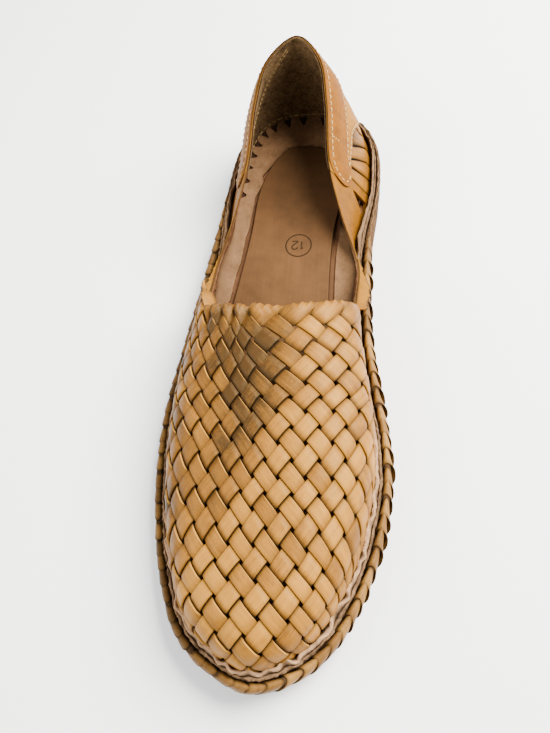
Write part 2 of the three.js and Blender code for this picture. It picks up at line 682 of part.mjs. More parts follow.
// Lower edge of the collar band and of the counter, as fractions of the wall's height.
const bandEdge = (u) => clamp(1 - BAND.width / wallHeight(u), 0.02, 1);
function counterEdge(u) {
  const atHeel = smoothstep(
    footPoint(u).point.y, rowY(COUNTER_EDGE.sideTo), rowY(COUNTER_EDGE.heelFrom));
  const share = lerp(COUNTER_EDGE.sideShare, COUNTER_EDGE.height / wallHeight(u), atHeel);
  return clamp(share, 0.06, Math.max(bandEdge(u), 0.06));
}

// The counter stands proud of the fan of strips below it.
const counterStep = (u) => COUNTER_STEP.depth * smoothstep(
  footPoint(u).point.y, rowY(COUNTER_STEP.from), rowY(COUNTER_STEP.to));

// Where the quarters run into the vamp, they lie a little inside it.
const vampTuck = (u) => VAMP_TUCK.depth * (1 - smoothstep(
  footPoint(u).point.y, rowY(VAMP_TUCK.from), rowY(VAMP_TUCK.to)));

// The wall starts a little under the seat and is cut level there with the rest of the upper.
function makeQuarters() {
  const buried = -0.07;
  return loft(Array.from({ length: QUARTER_STEPS + 1 }, (_, k) => {
    const u = k / QUARTER_STEPS;
    const edge = counterEdge(u);
    const step = counterStep(u);
    const tuck = vampTuck(u);
    const rows = [
      { h: buried, offset: 0 }, { h: edge, offset: 0 },
      { h: edge + 0.015, offset: step }, { h: (edge + 1) / 2, offset: step }, { h: 1, offset: step },
    ];
    const outside = rows.map(({ h, offset }) => wallOffset(u, h, offset - tuck));
    const inside = [1, (edge + 1) / 2, buried].map((h) => wallOffset(u, h, -WALL - tuck));
    return [...outside, ...inside];
  }));
}

// The band lies on the counter and the straps, and narrows round at both ends.
function makeCollarBand() {
  const ends = [OUTER, INNER].map((side) => uAt(side, BAND.endFromToe));
  return loft(Array.from({ length: BAND.steps + 1 }, (_, k) => {
    const u = lerp(ends[0], ends[1], k / BAND.steps);
    const fromEnd = Math.min(
      wallPoint(u, 1).distanceTo(wallPoint(ends[0], 1)), wallPoint(u, 1).distanceTo(wallPoint(ends[1], 1)));
    const round = Math.sqrt(clamp(1 - (1 - clamp(fromEnd / BAND.endLength, 0.03, 1)) ** 2, 0, 1));
    const middle = (1 + bandEdge(u)) / 2;
    const rows = [1, 0, -1].map((share) => lerp(middle, share > 0 ? 1 : bandEdge(u),
      Math.abs(share) * round));
    const low = counterStep(u) + 1.4 * GAP;
    const inside = rows.map((h) => wallOffset(u, h, low));
    const outside = rows.map((h) => wallOffset(u, h, low + BAND.thickness));
    return [...inside, ...outside.reverse()];
  }));
}

// u of the station that stands over a point of the foot line.
function uAt(side, fromToe) {
  let near = side === OUTER ? 0 : 1;
  let far = 0.5;
  for (let k = 0; k < 30; k += 1) {
    const middle = (near + far) / 2;
    if (rowY(fromToe) > footPoint(middle).point.y) near = middle;
    else far = middle;
  }
  return near;
}

// A wedge through the wall, for a gap between strips.
function wallWedge(u, low, high, footWidth, topWidth, lean) {
  const perU = wallPoint(u + 0.01, low).distanceTo(wallPoint(u - 0.01, low)) / 0.02;
  const corner = (h, shift, offset) => wallOffset(u + shift / perU, h, offset);
  const ring = (offset) => [
    corner(low, -footWidth / 2, offset), corner(low, footWidth / 2, offset),
    corner(high, lean + topWidth / 2, offset), corner(high, lean - topWidth / 2, offset),
  ];
  const clear = 2.5;
  return toSolid(loft([ring(-WALL - clear), ring(COUNTER_STEP.depth + clear)]));
}

function makeGaps() {
  const start = uAt(OUTER, FAN.startFromToe);
  const end = uAt(INNER, FAN.startFromToe);
  const slits = Array.from({ length: FAN.slits }, (_, k) => {
    const u = lerp(start, end, k / (FAN.slits - 1));
    const at = footPoint(u).point.y;
    const [riseFrom, leanFrom, leanTo, fallTo] = FAN.leanBetween.map(rowY);
    const share = smoothstep(at, riseFrom, leanFrom) - smoothstep(at, leanTo, fallTo);
    const side = u < 0.5 ? OUTER : INNER;
    return wallWedge(
      u, FAN.foot, counterEdge(u) - 0.02, FAN.footWidth, FAN.topWidth, side * FAN.lean * share);
  });
  const gaps = SIDE_GAPS.map((gap) => wallWedge(
    uAt(gap.side, gap.fromToe), gap.low, gap.high, gap.footWidth, gap.topWidth, -gap.side * gap.lean));
  return [...slits, ...gaps];
}

function makeUpper() {
  const woven = toSolid(makeWeave())
    .subtract(toSolid(behindThroat()))
    .subtract(toSolid(behindVamp()));
  const quarters = makeGaps().reduce((wall, gap) => wall.subtract(gap), toSolid(makeQuarters()));
  return toGeometry(
    woven.add(toSolid(makeThroatRoll())).add(quarters).intersect(toSolid(aboveSeat())));
}

// ---------------------------------------------------------------- scene graph
const PIECES = [
  { name: 'outsole', make: makeOutsole, color: 0x6b4a2e, roughness: 0.85 },
  { name: 'heel', make: makeHeel, color: 0x5f4230, roughness: 0.85 },
  { name: 'midsole', make: makeMidsole, color: 0x9a744a, roughness: 0.8 },
  { name: 'edge_lacing', make: makeLacing, color: 0xc99a5c, roughness: 0.55 },
  { name: 'rand', make: makeRand, color: 0x7d6048, roughness: 0.95 },
  { name: 'insole', make: makeInsole, color: 0xb48a70, roughness: 0.75 },
  { name: 'footbed', make: makeFootbed, color: 0xa9805c, roughness: 0.6 },
  { name: 'upper', make: makeUpper, color: 0xcf9f5f, roughness: 0.5 },
  { name: 'collar_band', make: makeCollarBand, color: 0xc08a55, roughness: 0.6 },
];

const shoe = new THREE.Group();
PIECES.forEach(({ name, make, color, roughness }) => {
  const material = new THREE.MeshStandardMaterial({ color, roughness, metalness: 0 });
  const mesh = new THREE.Mesh(make(), material);
  mesh.name = name;
  shoe.add(mesh);
});

// The origin lies on the floor under the middle of the shoe's box.
const middle = new THREE.Box3().setFromObject(shoe).getCenter(new THREE.Vector3());
shoe.children.forEach((mesh) => mesh.geometry.translate(-middle.x, -middle.y, 0));

export default shoe;
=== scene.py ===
"""The looks of a woven leather flat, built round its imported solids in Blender 4.5.

Lengths are in millimetres on the shoe's own axes: x to the inner side, d from the toe to the heel,
z up from the floor. to_row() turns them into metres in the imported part's frame.
"""

import math

import bmesh
import bpy
import numpy as np
from mathutils import Matrix, Vector


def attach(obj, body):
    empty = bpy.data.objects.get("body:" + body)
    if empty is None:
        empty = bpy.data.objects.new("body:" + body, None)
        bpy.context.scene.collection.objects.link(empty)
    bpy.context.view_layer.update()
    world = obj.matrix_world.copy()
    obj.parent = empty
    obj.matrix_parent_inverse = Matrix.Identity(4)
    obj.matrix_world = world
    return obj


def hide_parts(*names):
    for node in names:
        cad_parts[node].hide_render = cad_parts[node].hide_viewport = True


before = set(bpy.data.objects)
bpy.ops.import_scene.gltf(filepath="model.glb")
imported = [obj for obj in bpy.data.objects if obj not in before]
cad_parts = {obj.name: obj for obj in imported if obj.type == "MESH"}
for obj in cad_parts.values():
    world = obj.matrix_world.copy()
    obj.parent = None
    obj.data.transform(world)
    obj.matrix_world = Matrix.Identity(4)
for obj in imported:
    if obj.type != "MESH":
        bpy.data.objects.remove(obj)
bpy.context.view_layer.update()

# ---------------------------------------------------------------- sizes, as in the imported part
ROW_SHIFT = (0.56, -157.18)  # from (x, d) to the row frame, which is centred on the part's box
GAP = 0.35
OUTER, INNER = -1, 1
SIDES = {"outer": OUTER, "inner": INNER}

OUTLINE = [  # (x, d) round the sole
    (2.5, 0), (21.6, 7), (35.2, 20), (46.4, 42), (53.0, 66), (55.6, 90), (53.6, 114), (48.0, 140),
    (42.8, 168), (40.8, 200), (41.2, 230), (42.8, 258), (40.6, 284), (31.8, 302), (17.0, 311.3),
    (0.5, 314), (-16.0, 311.3), (-30.7, 302), (-38.9, 284), (-42.0, 258), (-44.2, 230),
    (-47.8, 198), (-52.4, 164), (-56.2, 132), (-56.4, 104), (-52.8, 74), (-45.0, 44),
    (-33.2, 20), (-17.8, 7)]
OUTLINE_STEPS, OUTLINE_SAMPLES, TANGENT_REACH = 960, 64, 0.3

SEAT_HEIGHT = 11.0
TOE_SPRING, TOE_SPRING_LENGTH, TOE_SPRING_LIMIT = 6.0, 66.0, 1.2
HEEL_RISE, WAIST_START, WAIST_END = 6.0, 134.0, 232.0
OUTSOLE_THICKNESS = 5.0
HEEL_BREAST = 237.0
OUTSOLE_INSET, MIDSOLE_INSET, UPPER_INSET = 1.2, 5.6, 9.6
INSOLE_MARGIN, INSOLE_THICKNESS = 4.4, 1.6
FOOTBED_INSET, FOOTBED_THICKNESS = 21.0, 1.4
HEEL_EDGE_NARROWING, HEEL_EDGE_FROM, HEEL_EDGE_TO = 0.55, 212.0, 250.0

TOE_STATION, CROWN_AT_TOE, CROWN_SLOPE, CROWN_SHIFT = 48.0, 39.0, 0.1, 2.0
VAMP_SQUARENESS, VAMP_BULGE, ARCH_STEPS = 2.5, 2.2, 48
FULL_SWELL = 6.75  # makes the most of share ** 2 * (1 - share) one
WAIST_BULGE, WAIST_BULGE_FROM, WAIST_BULGE_TO = 6.2, 80.0, 135.0
THROAT_AT, THROAT_BOW, THROAT_TWIST, THROAT_HALF = 158.0, 7.0, 3.5, 35.3
WALL = 1.7

QUARTERS = [  # side, d of the foot, then x, d and z of the topline over it
    (OUTER, 170, -40.2, 170, 33.0), (OUTER, 180, -39.2, 180, 28.5), (OUTER, 203, -39.2, 203, 22.5),
    (OUTER, 226, -31.0, 226, 34.0), (OUTER, 250, -24.6, 250, 47.0), (OUTER, 276, -22.0, 276, 60.0),
    (OUTER, 298, -15.8, 296, 70.5), (OUTER, 308.6, -1.0, 306, 76.0), (INNER, 298, 10.5, 296, 70.5),
    (INNER, 276, 15.0, 276, 60.0), (INNER, 250, 17.4, 250, 47.0), (INNER, 226, 25.0, 226, 34.0),
    (INNER, 203, 34.6, 203, 22.5), (INNER, 180, 35.8, 180, 28.5), (INNER, 170, 35.6, 170, 33.0)]
QUARTER_BULGE, HEEL_BULGE, HEEL_BULGE_FROM, HEEL_BULGE_TO = 1.2, 4.5, 258.0, 296.0
COUNTER_EDGE_HEIGHT, COUNTER_SIDE_SHARE, COUNTER_SIDE_TO, COUNTER_HEEL_FROM = 11.0, 0.5, 272.0, 297.0
COUNTER_STEP, COUNTER_STEP_FROM, COUNTER_STEP_TO = 0.8, 232.0, 246.0
BAND_WIDTH, BAND_END, BAND_END_LENGTH = 17.0, 243.0, 9.0
FAN_SLITS, FAN_START, FAN_FOOT, FAN_FOOT_WIDTH, FAN_TOP_WIDTH = 17, 250.5, 0.12, 0.8, 1.8
FAN_LEAN, FAN_LEAN_FROM, FAN_LEAN_TO = 0.55, 250.0, 274.0  # mm along for each mm up

rng = np.random.default_rng(12)


# ---------------------------------------------------------------- small tools
def smooth(x, a, b):
    t = np.clip((np.asarray(x, float) - a) / (b - a), 0, 1)
    return t * t * (3 - 2 * t)


def lerp(a, b, t):
    return a + (b - a) * t


def unit(v):
    return v / np.maximum(np.linalg.norm(v, axis=-1, keepdims=True), 1e-9)


def catmull(points, closed, samples):
    """Centripetal Catmull-Rom curve through points, with so many samples a span."""
    p = np.asarray(points, float)
    n = len(p)

    def at(k):
        if closed:
            return p[k % n]
        if k < 0:
            return 2 * p[0] - p[1]
        return p[k] if k < n else 2 * p[-1] - p[-2]

    spans = []
    for k in range(n if closed else n - 1):
        p0, p1, p2, p3 = at(k - 1), at(k), at(k + 1), at(k + 2)
        t0, t1, t2 = (max(np.sum((b - a) ** 2) ** 0.25, 1e-4) for a, b in ((p0, p1), (p1, p2), (p2, p3)))
        m1 = ((p1 - p0) / t0 - (p2 - p0) / (t0 + t1) + (p2 - p1) / t1) * t1
        m2 = ((p2 - p1) / t1 - (p3 - p1) / (t1 + t2) + (p3 - p2) / t2) * t1
        t = (np.arange(samples) / samples)[:, None]
        start = p1 + m1 * t + (-3 * p1 + 3 * p2 - 2 * m1 - m2) * t ** 2
        spans.append(start + (2 * p1 - 2 * p2 + m1 + m2) * t ** 3)
    curve = np.vstack(spans)
    return curve if closed else np.vstack([curve, p[-1]])


def bow(start, middle, end, t):
    """A curve from start to end that middle draws towards itself."""
    return (1 - t) ** 2 * start + 2 * (1 - t) * t * middle + t ** 2 * end


def quarter_round(share):
    """The height of a quarter circle, from 0 to 1, over a share of its width."""
    return np.sqrt(np.clip(1 - (1 - share) ** 2, 0, 1))


def spread(shape, *channels):
    """A grid of points' values, one channel after the other, each a number or a smaller grid."""
    return np.stack([np.broadcast_to(channel, shape) for channel in channels], -1)


def round_section(side, up, sides):
    """Rings round a path, one unit wide, from the ways to its side and up at each of its points."""
    angle = np.linspace(0, 2 * math.pi, sides, endpoint=False)[None, :, None]
    return np.cos(angle) * side[:, None, :] + np.sin(angle) * up[:, None, :]


def interp_points(want, places, points):
    """np.interp for points, one row of points for each place."""
    return np.stack([np.interp(want, places, column) for column in points.T], -1)


def lengths_along(points):
    return np.concatenate([[0], np.cumsum(np.linalg.norm(np.diff(points, axis=0), axis=1))])


def ring_average(values, weights):
    """Values round the outline, each the sum of its neighbours times their weights."""
    return np.convolve(np.tile(values, 3), weights, "same")[OUTLINE_STEPS:2 * OUTLINE_STEPS]


# ---------------------------------------------------------------- the last
def seat(d):
    spring = TOE_SPRING * np.clip(1 - np.asarray(d, float) / TOE_SPRING_LENGTH, 0, TOE_SPRING_LIMIT) ** 2
    return SEAT_HEIGHT + spring + HEEL_RISE * smooth(d, WAIST_START, WAIST_END)


def edge_scale(d):
    return lerp(1, HEEL_EDGE_NARROWING, smooth(d, HEEL_EDGE_FROM, HEEL_EDGE_TO))


def even_outline():
    """Points at even steps round the sole, the way along it at each, and its length."""
    curve = catmull(OUTLINE, True, OUTLINE_SAMPLES)
    ring = np.vstack([curve, curve[:1]])
    total = float(np.linalg.norm(np.diff(ring, axis=0), axis=1).sum())
    want = total * np.arange(OUTLINE_STEPS) / OUTLINE_STEPS
    reach = lengths_along(ring)
    before, here, after = (interp_points((want + way) % total if way else want, reach, ring)
                           for way in (-TANGENT_REACH, 0, TANGENT_REACH))
    return here, unit(after - before), total


EDGE, EDGE_TANGENT, EDGE_LENGTH = even_outline()
EDGE_OUT = np.stack([EDGE_TANGENT[:, 1], -EDGE_TANGENT[:, 0]], -1)


def inset_loop(inset):
    """The outline drawn in by inset mm, which may be one value a point."""
    return EDGE - np.broadcast_to(inset, OUTLINE_STEPS)[:, None] * EDGE_OUT


def sides_at(loop, stations):
    """The outermost and innermost x of a loop at each station."""
    a, b = loop, np.roll(loop, -1, axis=0)
    d = np.asarray(stations, float)[:, None]
    hit = ((a[:, 1] - d) * (b[:, 1] - d) <= 0) & (a[:, 1] != b[:, 1])
    share = (d - a[:, 1]) / np.where(a[:, 1] == b[:, 1], 1, b[:, 1] - a[:, 1])
    x = a[:, 0] + (b[:, 0] - a[:, 0]) * share
    return np.where(hit, x, np.inf).min(1), np.where(hit, x, -np.inf).max(1)


FOOT = inset_loop(UPPER_INSET * edge_scale(EDGE[:, 1]))
STATIONS = np.arange(FOOT[:, 1].min() + 0.3, FOOT[:, 1].max() - 0.3, 0.5)
FOOT_LEFT, FOOT_RIGHT = sides_at(FOOT, STATIONS)


def foot_side(side, d):
    return np.interp(d, STATIONS, FOOT_LEFT if side == OUTER else FOOT_RIGHT)


def crown_x(d):
    return (foot_side(OUTER, d) + foot_side(INNER, d)) / 2 + CROWN_SHIFT


def arch(reach, rise, length, bulge):
    """A rounded profile from the crown to the foot: out and up at a length along it, and what is left."""
    turn = np.linspace(0, math.pi / 2, ARCH_STEPS + 1)
    share = np.cos(turn) ** (2 / VAMP_SQUARENESS)
    share[-1] = 0
    swell = FULL_SWELL * share ** 2 * (1 - share)
    out = reach[:, None] * np.sin(turn) ** (2 / VAMP_SQUARENESS) + bulge[:, None] * swell
    up = rise[:, None] * share
    step = np.hypot(np.diff(out), np.diff(up))
    s = np.concatenate([np.zeros((len(reach), 1)), np.cumsum(step, axis=1)], axis=1)
    row = np.arange(len(reach))
    k = np.clip((s <= length[:, None]).sum(1) - 1, 0, ARCH_STEPS - 1)
    w = (length - s[row, k]) / np.maximum(step[row, k], 1e-9)
    inside = length < s[:, -1]
    return (np.where(inside, lerp(out[row, k], out[row, k + 1], w), reach),
            np.where(inside, lerp(up[row, k], up[row, k + 1], w), s[:, -1] - length),
            s[:, -1] - length)


def vamp_point(across, along):
    """From places in the vamp's flat pattern to points on the last, and the length left to the foot."""
    a, b = across.ravel(), along.ravel()
    side = np.where(a < 0, OUTER, INNER)
    back = b >= 0
    station = TOE_STATION + b / math.hypot(1, CROWN_SLOPE)
    centre = crown_x(station)
    toe_x = float(crown_x(TOE_STATION))
    edge = FOOT - np.array([toe_x, TOE_STATION])
    angle = np.mod(np.arctan2(edge[:, 1], edge[:, 0]), 2 * math.pi)
    order = np.argsort(angle)
    length2 = np.maximum(np.hypot(a, b), 1e-9)
    toe_reach = np.interp(np.mod(np.arctan2(b, a), 2 * math.pi), angle[order],
                          np.linalg.norm(edge, axis=1)[order], period=2 * math.pi)
    foot_d = np.where(back, station, TOE_STATION + toe_reach * b / length2)
    side_reach = np.where(side < 0, centre - foot_side(OUTER, station), foot_side(INNER, station) - centre)
    waist = lerp(VAMP_BULGE, WAIST_BULGE, smooth(station, WAIST_BULGE_FROM, WAIST_BULGE_TO))
    rise = CROWN_AT_TOE + CROWN_SLOPE * np.where(back, station - TOE_STATION, 0) - seat(foot_d)
    out, up, left = arch(np.where(back, side_reach, toe_reach), rise, np.where(back, np.abs(a), length2),
                         np.where(back & (side > 0), waist, VAMP_BULGE))
    x = np.where(back, centre + side * out, toe_x + out * a / length2)
    d = np.where(back, station, TOE_STATION + out * b / length2)
    return np.stack([x, d, seat(foot_d) + up], -1).reshape(across.shape + (3,)), left.reshape(across.shape)


class Vamp:
    """The vamp's surface on a grid over its flat pattern: point, normal, way back, length left."""
    ACROSS, ALONG = np.arange(-82, 83, 1.0), np.arange(-78, 146, 1.0)

    def __init__(self):
        a, b = np.meshgrid(self.ACROSS, self.ALONG, indexing="ij")
        point, left = vamp_point(a, b)
        nudge = 0.8
        ta = vamp_point(a + nudge, b)[0] - vamp_point(a - nudge, b)[0]
        tb = vamp_point(a, b + nudge)[0] - vamp_point(a, b - nudge)[0]
        self.table = np.concatenate([point, unit(np.cross(ta, tb)), unit(tb), left[..., None]], -1)

    def at(self, across, along):
        u = np.clip(across - self.ACROSS[0], 0, len(self.ACROSS) - 1.001)
        v = np.clip(along - self.ALONG[0], 0, len(self.ALONG) - 1.001)
        i, j = u.astype(int), v.astype(int)
        fu, fv = (u - i)[..., None], (v - j)[..., None]
        t = self.table
        mix = lerp(lerp(t[i, j], t[i + 1, j], fu), lerp(t[i, j + 1], t[i + 1, j + 1], fu), fv)
        return mix[..., :3], unit(mix[..., 3:6]), unit(mix[..., 6:9]), mix[..., 9]


vamp = Vamp()
TOPLINE = catmull([row[2:] for row in QUARTERS], False, 40)


def quarter_steps():
    steps = []
    for side, foot_d, *_ in QUARTERS:
        wrong_side = np.where(np.sign(FOOT[:, 0]) == side, 0, 1e3)
        steps.append(int(np.argmin(np.abs(FOOT[:, 1] - foot_d) + wrong_side)))
    return np.array(steps, float)


QUARTER_STEPS = quarter_steps()


def foot_point(u):
    """The foot of the wall, and the way out from it, at u from 0 to 1 round the quarters."""
    step = np.interp(u * (len(QUARTERS) - 1), np.arange(len(QUARTERS)), QUARTER_STEPS)
    k = np.floor(step).astype(int)
    w = (step - k)[..., None]
    after = (k + 1) % OUTLINE_STEPS
    p = lerp(FOOT[k % OUTLINE_STEPS], FOOT[after], w)
    out = lerp(EDGE_OUT[k % OUTLINE_STEPS], EDGE_OUT[after], w)
    z = seat(p[..., 1]) + GAP
    return np.concatenate([p, z[..., None]], -1), np.concatenate([out, 0 * z[..., None]], -1)


def wall_point(u, h):
    """A point on the quarters: h runs from the foot, 0, to the topline, 1."""
    u, h = np.broadcast_arrays(np.clip(np.asarray(u, float), 0, 1), np.asarray(h, float))
    foot, out = foot_point(u)
    t = u * (len(TOPLINE) - 1)
    k = np.minimum(np.floor(t).astype(int), len(TOPLINE) - 2)
    top = lerp(TOPLINE[k], TOPLINE[k + 1], (t - k)[..., None])
    bulge = lerp(QUARTER_BULGE, HEEL_BULGE, smooth(foot[..., 1], HEEL_BULGE_FROM, HEEL_BULGE_TO))
    mid = (foot + top) / 2 + out * bulge[..., None]
    return bow(foot, mid, top, h[..., None])


def wall_normal(u, h):
    nu, nh = 0.004, 0.02
    along = wall_point(u + nu, h) - wall_point(u - nu, h)
    up = wall_point(u, h + nh) - wall_point(u, h - nh)
    return unit(np.cross(up, along))


def wall_offset(u, h, offset):
    u, h, offset = np.broadcast_arrays(u, h, offset)
    return wall_point(u, h) + wall_normal(u, h) * offset[..., None]


def mm_per_u(u, h):
    """The length along the wall that a unit of u stands for."""
    return np.linalg.norm(wall_point(u + 0.01, h) - wall_point(u - 0.01, h)) / 0.02


def wall_height(u):
    return np.linalg.norm(wall_point(u, 1.0) - wall_point(u, 0.0), axis=-1)


def u_at(side, d):
    """u of the station over a point of the foot line."""
    u = np.linspace(0, 0.5, 400) if side == OUTER else np.linspace(1, 0.5, 400)
    return float(np.interp(d, foot_point(u)[0][:, 1], u))


def round_heel(d, steps):
    """u from a station on the outer side, round the heel, to the same station on the inner side."""
    return np.linspace(u_at(OUTER, d), u_at(INNER, d), steps)


def foot_d(u):
    return foot_point(np.asarray(u, float))[0][..., 1]


def band_edge(u):
    return np.clip(1 - BAND_WIDTH / wall_height(u), 0.02, 1)


def counter_edge(u):
    at_heel = smooth(foot_d(u), COUNTER_SIDE_TO, COUNTER_HEEL_FROM)
    share = lerp(COUNTER_SIDE_SHARE, COUNTER_EDGE_HEIGHT / wall_height(u), at_heel)
    return np.clip(share, 0.06, np.maximum(band_edge(u), 0.06))


def counter_step(u):
    """The counter's step out from the wall, of which STEP_SHARE shows in its outer face."""
    return COUNTER_STEP * smooth(foot_d(u), COUNTER_STEP_FROM, COUNTER_STEP_TO)


# ---------------------------------------------------------------- mesh code
class Body:
    """Points and faces of one piece, gathered patch by patch.

    Each point also has grain (mm along, mm across, tone) and wear marks (cut edge, burnish and painted shade,
    extra) for its material to read. On the woven strips the tone also carries painted shade and painted
    highlights.
    """

    def __init__(self):
        self.points, self.grain, self.wear, self.quads, self.tris = [], [], [], [], []
        self.count = 0

    def add(self, points, quads, tris=(), grain=(0, 0, 0), wear=(0, 0, 0)):
        points = np.asarray(points, float).reshape(-1, 3)
        self.points.append(points)
        for store, values in ((self.grain, grain), (self.wear, wear)):
            values = np.asarray(values, float)
            store.append(np.broadcast_to(values if values.ndim == 1 else values.reshape(-1, 3), points.shape))
        self.quads.append(np.asarray(quads, int).reshape(-1, 4) + self.count)
        self.tris.append(np.asarray(tris, int).reshape(-1, 3) + self.count)
        self.count += len(points)

    def tube(self, rings, closed=False, grain=(0, 0, 0), wear=(0, 0, 0), caps=True):
        """A solid through rings of points, shape (rings, ring, 3). Open ends get a flat cap."""
        n, m, _ = rings.shape
        r = np.arange(n if closed else n - 1)[:, None]
        k = np.arange(m)[None, :]
        here, after = r * m, ((r + 1) % n) * m
        quads = np.stack([here + k, here + (k + 1) % m, after + (k + 1) % m, after + k], -1).reshape(-1, 4)
        ends = []
        for base, flip in () if closed or not caps else ((0, 1), ((n - 1) * m, -1)):
            for a in range((m - 1) // 2):
                b = m - 1 - a
                ends.append([base + a, base + b, base + a + 1][::flip])
                if a + 1 < b - 1:
                    ends.append([base + a + 1, base + b, base + b - 1][::flip])
        self.add(rings, quads, ends, grain, wear)

    def sheet(self, outer, inner, face=None, rear=None, grain=None):
        """A plate between two grids of points, shape (rows, columns, 3), closed round its edge.

        face and rear are the wear marks and painted shade of their two sides. rear is like face where it
        isn't given.
        """
        def both(first, second):
            return np.concatenate([first, second[:, ::-1]], axis=1)

        nothing = np.zeros(outer.shape)
        face = nothing if face is None else face
        grain = nothing if grain is None else grain
        self.tube(both(outer, inner), False, both(grain, grain), both(face, face if rear is None else rear))


def to_row(points):
    return (np.asarray(points, float) + np.array([ROW_SHIFT[0], ROW_SHIFT[1], 0])) / 1000


SHARP_ANGLE = 35
MERGE_WITHIN, NO_LENGTH = 2e-6, 1e-7  # metres: points that count as one, and edges that count as none


def make_piece(name, body, material, node=None, sharp=SHARP_ANGLE, merge=False):
    """A Blender object from a body. One that replaces a node rides on the part's root, and the node is
    hidden.
    """
    points = to_row(np.vstack(body.points))
    quads, tris = np.vstack(body.quads), np.vstack(body.tris)
    mesh = bpy.data.meshes.new(name)
    mesh.vertices.add(len(points))
    mesh.vertices.foreach_set("co", points.ravel())
    corners = np.concatenate([quads.ravel(), tris.ravel()]).astype(np.int32)
    starts = np.concatenate([np.arange(len(quads)) * 4, len(quads) * 4 + np.arange(len(tris)) * 3])
    mesh.loops.add(len(corners))
    mesh.loops.foreach_set("vertex_index", corners)
    mesh.polygons.add(len(starts))
    mesh.polygons.foreach_set("loop_start", starts.astype(np.int32))
    for label, store in (("grain", body.grain), ("wear", body.wear)):
        values = mesh.attributes.new(label, "FLOAT_VECTOR", "POINT")
        values.data.foreach_set("vector", np.vstack(store).ravel().astype(np.float32))
    mesh.update(calc_edges=True)
    mesh.validate()
    work = bmesh.new()
    work.from_mesh(mesh)
    if merge:
        bmesh.ops.remove_doubles(work, verts=work.verts, dist=MERGE_WITHIN)
        bmesh.ops.dissolve_degenerate(work, dist=NO_LENGTH, edges=work.edges)
    bmesh.ops.recalc_face_normals(work, faces=work.faces)
    work.to_mesh(mesh)
    work.free()
    mesh.shade_smooth()
    if sharp:
        mesh.set_sharp_from_angle(angle=math.radians(sharp))
    piece = bpy.data.objects.new(name, mesh)
    bpy.context.scene.collection.objects.link(piece)
    mesh.materials.append(material)
    if node:
        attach(piece, "root")
        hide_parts(node)
    return piece


# ---------------------------------------------------------------- materials
def colour(red, green, blue):
    """A colour given as seen on a screen, 0 to 255, for a shader's socket."""
    def linear(c):
        c /= 255
        return c / 12.92 if c <= 0.04045 else ((c + 0.055) / 1.055) ** 2.4
    return (linear(red), linear(green), linear(blue), 1.0)


WARM, WHITE = colour(255, 222, 166), (1, 1, 1, 1)  # tints of the gloss


class Shader:
    """A material's nodes, with short calls for the few kinds that the leathers need."""

    def __init__(self, name):
        self.material = bpy.data.materials.new(name)
        self.material.use_nodes = True
        self.tree = self.material.node_tree
        self.surface = self.tree.nodes["Principled BSDF"]
        self.object_place = self.node("ShaderNodeTexCoord").outputs["Object"]

    def put(self, node, sockets):
        """Links or sets sockets, given by name or number."""
        for key, value in sockets.items():
            if isinstance(value, bpy.types.NodeSocket):
                self.tree.links.new(value, node.inputs[key])
            else:
                node.inputs[key].default_value = value

    def node(self, kind, sockets=None, **settings):
        made = self.tree.nodes.new(kind)
        for key, value in settings.items():
            setattr(made, key, value)
        self.put(made, sockets or {})
        return made

    def math(self, operation, a, b=0.0, c=0.0, clamp=False):
        made = self.node("ShaderNodeMath", dict(enumerate((a, b, c))), operation=operation, use_clamp=clamp)
        return made.outputs[0]

    def total(self, *terms):
        """The sum of values, each times its weight."""
        (value, weight), *rest = terms
        result = self.math("MULTIPLY", value, weight)
        for value, weight in rest:
            result = self.math("MULTIPLY_ADD", value, weight, result)
        return result

    def attribute(self, label):
        vector = self.node("ShaderNodeAttribute", attribute_name=label).outputs["Vector"]
        return vector, self.node("ShaderNodeSeparateXYZ", {0: vector}).outputs

    def scaled(self, vector, size):
        """The vector in units of a feature's size, in the vector's own unit."""
        return self.node("ShaderNodeMapping", {"Vector": vector, "Scale": [1 / s for s in size]}).outputs[0]

    def noise(self, vector, detail=3.0, roughness=0.55):
        sockets = {"Vector": vector, "Scale": 1.0, "Detail": detail, "Roughness": roughness}
        return self.node("ShaderNodeTexNoise", sockets).outputs["Fac"]

    def spots(self, size_mm, detail=3.0, roughness=0.55):
        """Noise in the leather itself, as large one way as the other."""
        return self.noise(self.scaled(self.object_place, (size_mm / 1000,) * 3), detail, roughness)

    def pores(self, size_mm):
        vector = self.scaled(self.object_place, (size_mm / 1000,) * 3)
        return self.node("ShaderNodeTexVoronoi", {"Vector": vector, "Scale": 1.0}).outputs["Distance"]

    def fit(self, value, low, high, to_low=0.0, to_high=1.0):
        sockets = dict(enumerate((value, low, high, to_low, to_high)))
        return self.node("ShaderNodeMapRange", sockets, clamp=True).outputs[0]

    def mix(self, share, a, b):
        made = self.node("ShaderNodeMix", data_type="RGBA")
        first, second = (k for k, socket in enumerate(made.inputs) if socket.type == "RGBA")
        self.put(made, {"Factor": share, first: a, second: b})
        return next(socket for socket in made.outputs if socket.type == "RGBA")

    def bump(self, height, depth_mm, strength=1.0, normal=None):
        sockets = {"Strength": strength, "Distance": depth_mm / 1000, "Height": height}
        if normal is not None:
            sockets["Normal"] = normal
        return self.node("ShaderNodeBump", sockets).outputs[0]

    def finish(self, base, roughness, normal=None, gloss=0.3, tint=WHITE):
        sockets = {
            "Base Color": base, "Roughness": roughness, "Specular IOR Level": gloss, "Specular Tint": tint}
        if normal is not None:
            sockets["Normal"] = normal
        self.put(self.surface, sockets)
        return self.material


